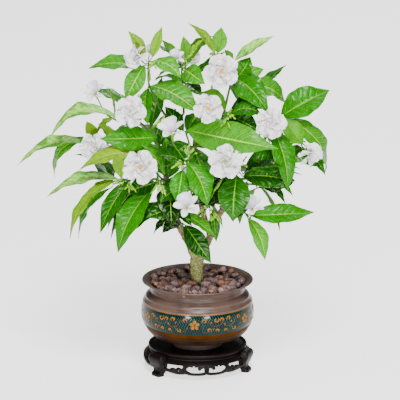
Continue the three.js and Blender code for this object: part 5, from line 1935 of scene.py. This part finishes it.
@dataclass
class Stand:
    """The lacquered stand: a turned board, three scrolled legs and three pierced aprons.

    A carving is (degrees from the apron's middle, height) along its line, and its half widths. The degree is the
    width of one at the apron's face, and the legs' sections are (radius, height, half depth, half width).
    """

    board: Sequence[Spot] = (
        (0, 29), (74.6, 29), (76.6, 29.6), (77.6, 31), (77.4, 32.6), (76.2, 33.4), (76.0, 34.0), (77.2, 34.6),
        (78.6, 35.8), (79, 38), (78.7, 39.4), (77.4, 40.4), (75.6, 40.3), (74.2, 39.4), (73.4, 37.9), (60, 37.7),
        (0, 37.7))
    legs: int = 3
    first_leg: float = -50.0
    apron: Sequence[Spot] = ((78.3, 30.6), (80.4, 28.7), (84.6, 26.6), (86.8, 24.0), (87.4, 20), (87, 15.5),
                             (85.2, 11.5), (82.5, 7.8))
    apron_low: float = 7.6
    apron_high: float = 30.6
    degree: float = 1.48
    bar_section: Sequence[Spot] = ((-1, 1.4), (-0.8, 0.5), (-0.3, 0.0), (0.3, 0.0), (0.8, 0.5), (1, 1.4), (1, 4.0),
                                   (0.7, 4.5), (-0.7, 4.5), (-1, 4.0))
    rail: Carving = (((-53, 27.8), (-40, 27.8), (-25, 27.8), (0, 27.8), (25, 27.8), (40, 27.8), (53, 27.8)),
                     (3.4, 3.2, 3.2, 3.6, 3.2, 3.2, 3.4))
    scrolls: Sequence[Carving] = (
        (((0, 12.6), (4, 10.6), (11, 9.9), (18, 10.6), (23, 13), (27, 12), (33, 11.2), (40, 12.6), (47, 14.4),
          (54, 15)), (2.4, 2.7, 2.6, 2.6, 3.0, 3.0, 3.1, 3.0, 3.0, 3.2)),
        (((0.6, 10.5), (1.4, 16), (1.2, 21), (2.6, 26.5)), (2.4, 1.8, 2.4, 3.4)),
        (((2.2, 25), (5.6, 23.4), (8.2, 20.4), (6.6, 18.8)), (3.0, 3.0, 2.4, 1.1)),
        (((4, 26.4), (9, 25.6), (12.4, 23.2)), (2.8, 2.5, 1.0)),
        (((19, 11.5), (22.6, 15), (23.8, 20), (20.6, 25), (17, 27)), (2.8, 2.5, 2.4, 2.5, 1.6)),
        (((23, 15), (25.4, 19.4), (24.6, 24), (27.4, 27.4)), (1.6, 2.1, 1.9, 1.4)),
        (((20, 25), (16.6, 24.4), (15.2, 22.6)), (1.6, 1.3, 0.5)),
        (((25.6, 12.6), (28.6, 17), (31.6, 18.8), (33.4, 16.6), (32.2, 14.6)), (2.2, 2.7, 2.4, 1.9, 1.1)),
        (((33, 12), (36.4, 16.6), (40, 16.6), (42.6, 14)), (2.2, 2.7, 2.2, 1.4)),
        (((49, 12), (50, 18), (51, 23), (50, 27)), (2.4, 2.2, 2.4, 3.0)))
    sections: Sequence[tuple[float, float, float, float]] = (
        (79.2, 37, 5.3, 11), (81.6, 34.5, 7.6, 15), (82.7, 29, 8.6, 17.5), (82.1, 23, 8.0, 17), (80.5, 16.5, 6.4, 15),
        (79.2, 11, 5.4, 12.4), (79.8, 7, 5.4, 11), (83, 4.4, 6.2, 10.4), (83.6, 0, 6.2, 10))
    square: float = 0.27
    groove_from: float = 12.0
    board_low: float = 28.6
    board_clear: float = 79.4
    curl: float = 5.2
    curl_points: int = 22
    curl_middle: tuple[float, float, float] = (90.2, 6.2, 23.5)

    def surface(self, degrees: Points, height: Points, depth: float) -> Points:
        """Returns points on an apron's swelling face.

        Args:
            degrees: Turns from the front towards +X.
            height: Heights above the floor.
            depth: How far inside the outer face.
        Returns:
            The points.
        """
        rows = np.array(self.apron)[::-1]
        radius = np.interp(height, rows[:, 1], rows[:, 0]) - depth
        turn = np.radians(degrees)
        return np.stack([radius * np.sin(turn), -radius * np.cos(turn), height], -1)

    def bar(self, skin: Skin, centre: float, spots: Sequence[Spot], halves: Sequence[float]) -> None:
        """Adds a carved bar of the fretwork.

        Args:
            skin: The apron's skin.
            centre: Turn of the apron's middle, in degrees.
            spots: Its line as (degrees from the middle, height).
            halves: Its half width at each spot.
        """
        flat = spline(np.array([(turn * self.degree, height) for turn, height in spots]), 7)
        half, square = spread(halves, len(flat)), edged(flat)
        rows = []
        for across, depth in self.bar_section:
            spot = flat + square * (half * across)[:, None]
            height = np.clip(spot[:, 1], self.apron_low, self.apron_high)
            rows.append(self.surface(centre + spot[:, 0] / self.degree, height, depth))
        skin.loft(np.stack(rows, 1), flip=True)

    def fretwork(self, skin: Skin, centre: float) -> None:
        """Adds one apron's rail, scrolls and leaves.

        Args:
            skin: The apron's skin.
            centre: Turn of its middle, in degrees.
        """
        self.bar(skin, centre, *self.rail)
        for hand in (-1, 1):
            for spots, halves in self.scrolls:
                self.bar(skin, centre, [(hand * turn, height) for turn, height in spots], halves)

    def leg(self, skin: Skin, degrees: float) -> None:
        """Adds one scrolled leg.

        Args:
            skin: The leg's skin.
            degrees: Its turn from the front towards +X.
        """
        turn = math.radians(degrees)
        out = np.array([math.sin(turn), -math.cos(turn), 0])
        side = np.array([math.cos(turn), math.sin(turn), 0])
        angles = 2 * np.pi * np.arange(28) / 28
        d = np.sign(np.cos(angles)) * np.abs(np.cos(angles)) ** self.square
        w = np.sign(np.sin(angles)) * np.abs(np.sin(angles)) ** self.square
        w = w * np.where(d > 0, 1 - 0.12 * d, 1)
        rings = []
        for radius, height, depth, width in spline(np.array(self.sections, float), 7):
            groove = 0.5 * np.exp(-((np.abs(w) - 0.45) / 0.1) ** 2) * (d > 0.3) * (height > self.groove_from)
            radial = radius + (d * depth - groove)
            if height > self.board_low:
                radial = np.maximum(radial, self.board_clear)
            rings.append(out * radial[:, None] + side * (w * width)[:, None] + np.array([0, 0, max(height, 0)]))
        skin.loft(np.array(rings))
        reach, aside, rise = self.curl_middle
        for hand in (-1, 1):
            curl = []
            for k in range(self.curl_points):
                angle = k / (self.curl_points - 1) * 2.6 * math.pi
                size = self.curl * (1 - k / 26)
                curl.append(out * (reach - 0.16 * size - abs(0.3 * math.sin(angle)))
                            + side * hand * (aside + size * math.cos(angle)) * 0.8
                            + np.array([0, 0, rise + 0.8 * size * math.sin(angle)]))
            skin.tube(np.array(curl) - out * 1.6, np.linspace(1.3, 0.8, len(curl)), 8, flat=0.8, hint=out)

    def build(self) -> None:
        """Makes the board, the legs and the aprons."""
        lacquer = LacquerFinish().material()
        skin = Skin()
        knots = np.array(self.board, float)
        skin.turned(np.concatenate([knots[:1], spline(knots[1:-2], 5), knots[-2:]]), 128)
        piece = skin.make("stand_board_turned", [lacquer], crease=50)
        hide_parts("stand_board")
        for k in range(self.legs):
            for part, carve, turn in (("leg", self.leg, k), ("apron", self.fretwork, k + 0.5)):
                skin = Skin()
                carve(skin, self.first_leg + 360 / self.legs * turn)
                piece = skin.make(f"stand_{part}_{k + 1}_carved", [lacquer], crease=50)
                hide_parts(f"stand_{part}_{k + 1}")


# ---- the studio
@dataclass(frozen=True)
class Lamp:
    """A soft light: its place from the pot's axis, its width and its height, in metres, and its power."""

    name: str
    place: Spot
    width: float
    tall: float
    power: float


@dataclass
class Studio:
    """Pale floor, soft lights and a far camera with a long lens."""

    lamps: Sequence[Lamp] = (
        Lamp("overhead", (0, 1.2, 5.0), 6.0, 6.0, 170), Lamp("key", (0.2, -2.5, 3.2), 1.2, 1.2, 300),
        Lamp("window_left", (-1.3, -3.7, 0.55), 0.6, 0.5, 130), Lamp("window_right", (1.3, -3.7, 0.55), 0.6, 0.5, 130),
        Lamp("back", (0.7, 2.4, 2.4), 1.2, 1.2, 60))
    lit_height: float = 0.3
    sky: Colour = (0.95, 0.975, 1.0)
    sky_power: float = 0.10
    floor_reach: float = 40.0
    floor_drop: float = 0.0002
    distance: float = 12.0
    lens: float = 675.0
    aim_across: float = 4.0
    aim_rise: float = 266.6

    def floor(self) -> None:
        """Lays the floor."""
        g = Graph("studio_floor")
        g.dress(g.mix(g.noise(0.6, 2), (0.56, 0.56, 0.56), (0.60, 0.60, 0.60)), Roughness=0.9,
                Specular_IOR_Level=0.1, Emission_Color=(1, 1, 1, 1), Emission_Strength=1.5)
        mesh = bpy.data.meshes.new("studio_floor")
        corners = [(x * self.floor_reach, y * self.floor_reach, -self.floor_drop)
                   for x, y in ((-1, -1), (1, -1), (1, 1), (-1, 1))]
        mesh.from_pydata(corners, [], [(0, 1, 2, 3)])
        mesh.materials.append(g.material)
        plane = bpy.data.objects.new("studio_floor", mesh)
        bpy.context.scene.collection.objects.link(plane)

    def hang(self, lamp: Lamp) -> None:
        """Hangs a light that faces the plant.

        Args:
            lamp: The light.
        """
        data = bpy.data.lights.new(lamp.name, "AREA")
        data.shape = "RECTANGLE"
        data.size, data.size_y, data.energy = lamp.width, lamp.tall, lamp.power
        light = bpy.data.objects.new(lamp.name, data)
        light.location = Vector(AXIS * MM) + Vector(lamp.place)
        light.rotation_mode = "QUATERNION"
        aim = Vector(AXIS * MM) + Vector((0, 0, self.lit_height)) - light.location
        light.rotation_quaternion = aim.to_track_quat("-Z", "Y")
        bpy.context.scene.collection.objects.link(light)

    def build(self) -> None:
        """Sets the world, the floor, the lights and the camera."""
        world = bpy.data.worlds.new("studio")
        world.use_nodes = True
        sky = world.node_tree.nodes["Background"].inputs
        sky[0].default_value = (*self.sky, 1)
        sky[1].default_value = self.sky_power
        bpy.context.scene.world = world
        self.floor()
        for lamp in self.lamps:
            self.hang(lamp)
        data = bpy.data.cameras.new("camera")
        data.lens = self.lens
        data.sensor_width = 36
        data.clip_end = 100
        camera = bpy.data.objects.new("camera", data)
        aim = (seen((self.aim_across, self.aim_rise, 0)) + AXIS) * MM
        camera.location = Vector(aim + SIGHT * self.distance)
        camera.rotation_mode = "QUATERNION"
        camera.rotation_quaternion = Vector(-SIGHT).to_track_quat("-Z", "Y")
        bpy.context.scene.collection.objects.link(camera)
        bpy.context.scene.camera = camera


def main() -> None:
    """Builds every piece in order."""
    logging.basicConfig(level=logging.INFO, format="%(message)s")
    Stand().build()
    Pot().build()
    Bed().build()
    Crown().build()
    Studio().build()


if __name__ == "__main__":
    main()
